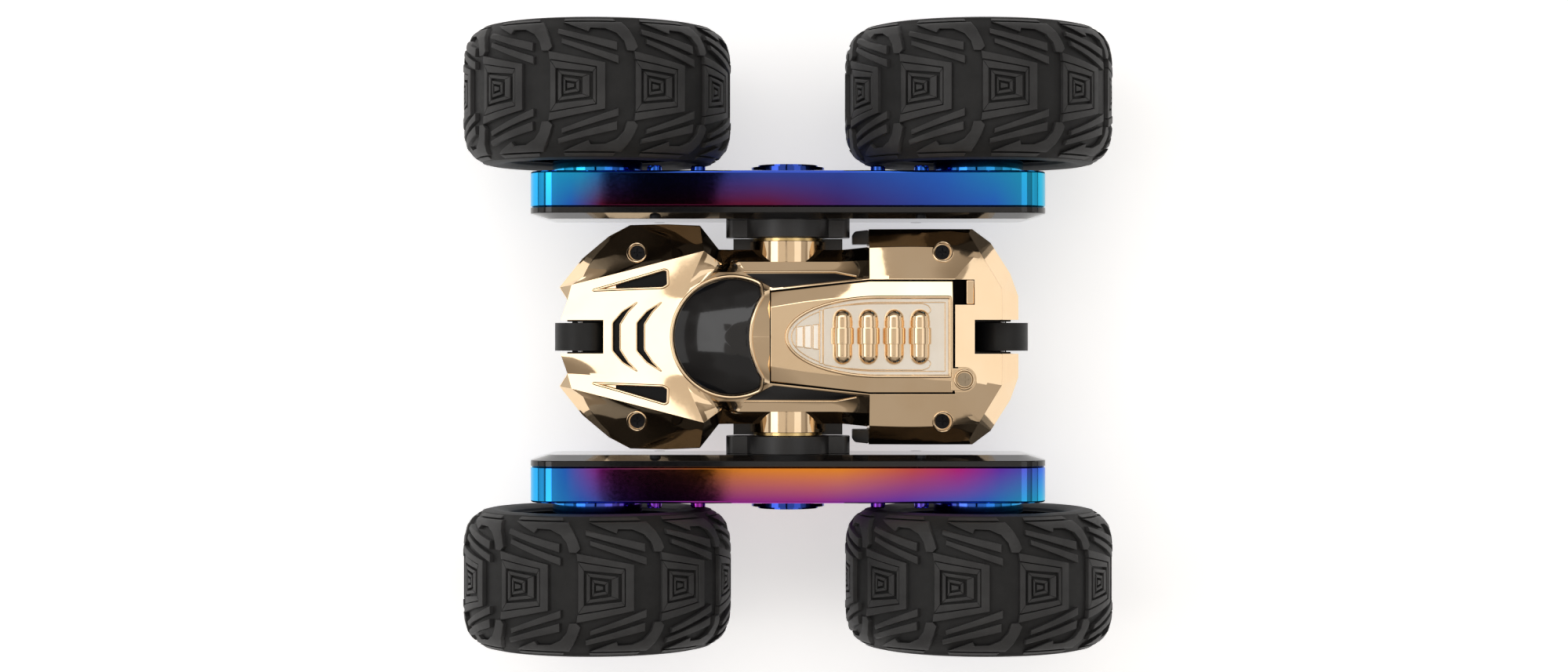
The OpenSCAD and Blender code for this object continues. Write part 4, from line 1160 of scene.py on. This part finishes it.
def crown(v):
    """Radius over the blocks at this distance from a tyre's middle."""
    v = abs(v)
    for (v0, r0), (v1, r1) in zip(CROWN, CROWN[1:]):
        if v <= v1:
            return r0 + (r1 - r0) * (v - v0) / (v1 - v0)
    return CROWN[-1][1]


def trapezoid_ring(pair):
    """Four bars between an outer and an inner trapezoid."""
    a, b = ([(front, high), (rear, low), (rear, -low), (front, -high)] for front, rear, high, low in pair)
    return [[a[i], a[(i + 1) % 4], b[(i + 1) % 4], b[i]] for i in range(4)]


def tread_blocks():
    """One repeat of the tread, flattened: outlines with their drop from the top."""
    blocks = [(FRAME, 0.0)]
    for ring in RINGS:
        blocks += [(bar, RING_DROP) for bar in trapezoid_ring(ring)]
    blocks.append((STUD, RING_DROP))
    for outline in SHOULDER:
        blocks.append((outline, 0.0))
        blocks.append(([(u, -v) for u, v in outline], 0.0))
    return blocks


def slice_at(bm, place_at, direction):
    """Cuts new edges along a plane, so that flat faces can bend there."""
    geom = bm.verts[:] + bm.edges[:] + bm.faces[:]
    bmesh.ops.bisect_plane(bm, geom=geom, plane_co=place_at, plane_no=direction)


def tread_mesh():
    """One repeat of the tread, still flat: x is towards the rear, y across, z up from the top surface."""
    bm = bmesh.new()
    for outline, drop in tread_blocks():
        top = [bm.verts.new((u, v, -drop)) for u, v in outline]
        low = [bm.verts.new((u, v, -LUG - 0.6)) for u, v in outline]
        n = len(outline)
        bm.faces.new(top)
        for i in range(n):
            bm.faces.new((top[i], low[i], low[(i + 1) % n], top[(i + 1) % n]))
    bmesh.ops.recalc_face_normals(bm, faces=bm.faces)
    tops = [e for e in bm.edges if all(abs(v.co.z) < 0.5 for v in e.verts)]
    bmesh.ops.bevel(bm, geom=tops, offset=0.3, segments=2, profile=0.5, affect="EDGES")
    for v in (-20, -16, -12, 12, 16, 20, 22.5, -22.5):
        slice_at(bm, (0, v, 0), (0, 1, 0))
    for u in range(-34, 19, 4):
        slice_at(bm, (u, 0, 0), (1, 0, 0))
    mesh = bpy.data.meshes.new("tread")
    bm.to_mesh(mesh)
    bm.free()
    return mesh


def tyre_carcass(name, x, y):
    """Hollow tyre without its blocks, its middle at (x, y)."""
    crest = [(v, crown(v) - LUG) for v in (-24, -22.5, -20, -16, -12, -4, 4, 12, 16, 20, 22.5, 24)]
    outline = other_half(SIDEWALL) + crest + SIDEWALL + INSIDE + other_half(INSIDE)
    return lathe_y(name, [(y + v, r) for v, r in outline], (x, 0), 120, endless=True)


def wrapped_tread(name, tread, x, y, phase):
    """The tread's repeats bent round a tyre, its middle at (x, y)."""
    bm = bmesh.new()
    for k in range(TREADS):
        bm.from_mesh(tread)
        bm.verts.ensure_lookup_table()
        for vert in bm.verts[-len(tread.vertices):]:
            u, v, h = vert.co
            angle = (u + phase + k * PITCH) / TYRE_R
            r = crown(v) + h
            vert.co = at(x - r * math.sin(angle), y + v, r * math.cos(angle))
    blocks = mesh_object(name, [], [])
    bm.to_mesh(blocks.data)
    bm.free()
    return blocks


def tyre(end, side, tread):
    """Carcass and tread blocks, on the same wheel."""
    node = "tyre_%s_%s" % (end, side)
    body = "%s_%s_wheel" % (end, side)
    low, high = size_of(node)
    x, y = ENDS[end] * AXLE_X, (low.y + high.y) / 2
    carcass = tyre_carcass("tyre_carcass_%s_%s" % (end, side), x, y)
    blocks = wrapped_tread("tyre_blocks_%s_%s" % (end, side), tread, x, y, TREAD_PHASE[end, side])
    # darker carcass and paler blocks: painted shade in the grooves, painted light on the blocks
    place(smooth(carcass, 32), body, "tyre", TYRE, node)
    place(smooth(blocks, 32), body, "tyre", TREAD_PAINTED_LIGHT)


TREAD = tread_mesh()
for end in ENDS:
    for side in SIDES:
        tyre(end, side, TREAD)
bpy.data.meshes.remove(TREAD)
bpy.data.meshes.remove(SKIN)


# -------------------- finishes of the CAD nodes


# the body and arm screws get the darkened steel, which is painted shade of their deep holes
FINISH = {
    "lower_shell": SATIN, "body_screws": SCREW_STEEL_PAINTED_SHADE, "roller_pins": STEEL, "pivot_bushes": BRASS,
    "battery_pack": SLEEVE, "circuit_board": BOARD, "switch_housing": SATIN, "switch_knob": SATIN,
    "front_roller": ROLLER, "rear_roller": ROLLER, "lid_screw": PLATED_STEEL,
}
SIDE_FINISH = {
    "arm_screws": SCREW_STEEL_PAINTED_SHADE, "gear_pins": STEEL, "pivot_hub": SATIN, "motor": MOTOR_CAN, "pinion": BRASS,
    "arm_cap": CAP,
}
WHEEL_FINISH = {
    "first_gear": GEAR_WHITE, "second_gear": GEAR_IVORY, "axle_gear": GEAR_WHITE, "wheel_axle": STEEL,
    "rim": RIM,
}
for side in SIDES:
    FINISH.update({"%s_%s" % (part, side): finish for part, finish in SIDE_FINISH.items()})
    for end in ENDS:
        FINISH.update({"%s_%s_%s" % (part, end, side): finish for part, finish in WHEEL_FINISH.items()})
for node, finish in FINISH.items():
    obj = bpy.data.objects[node]
    obj.data.materials.clear()
    obj.data.materials.append(finish)
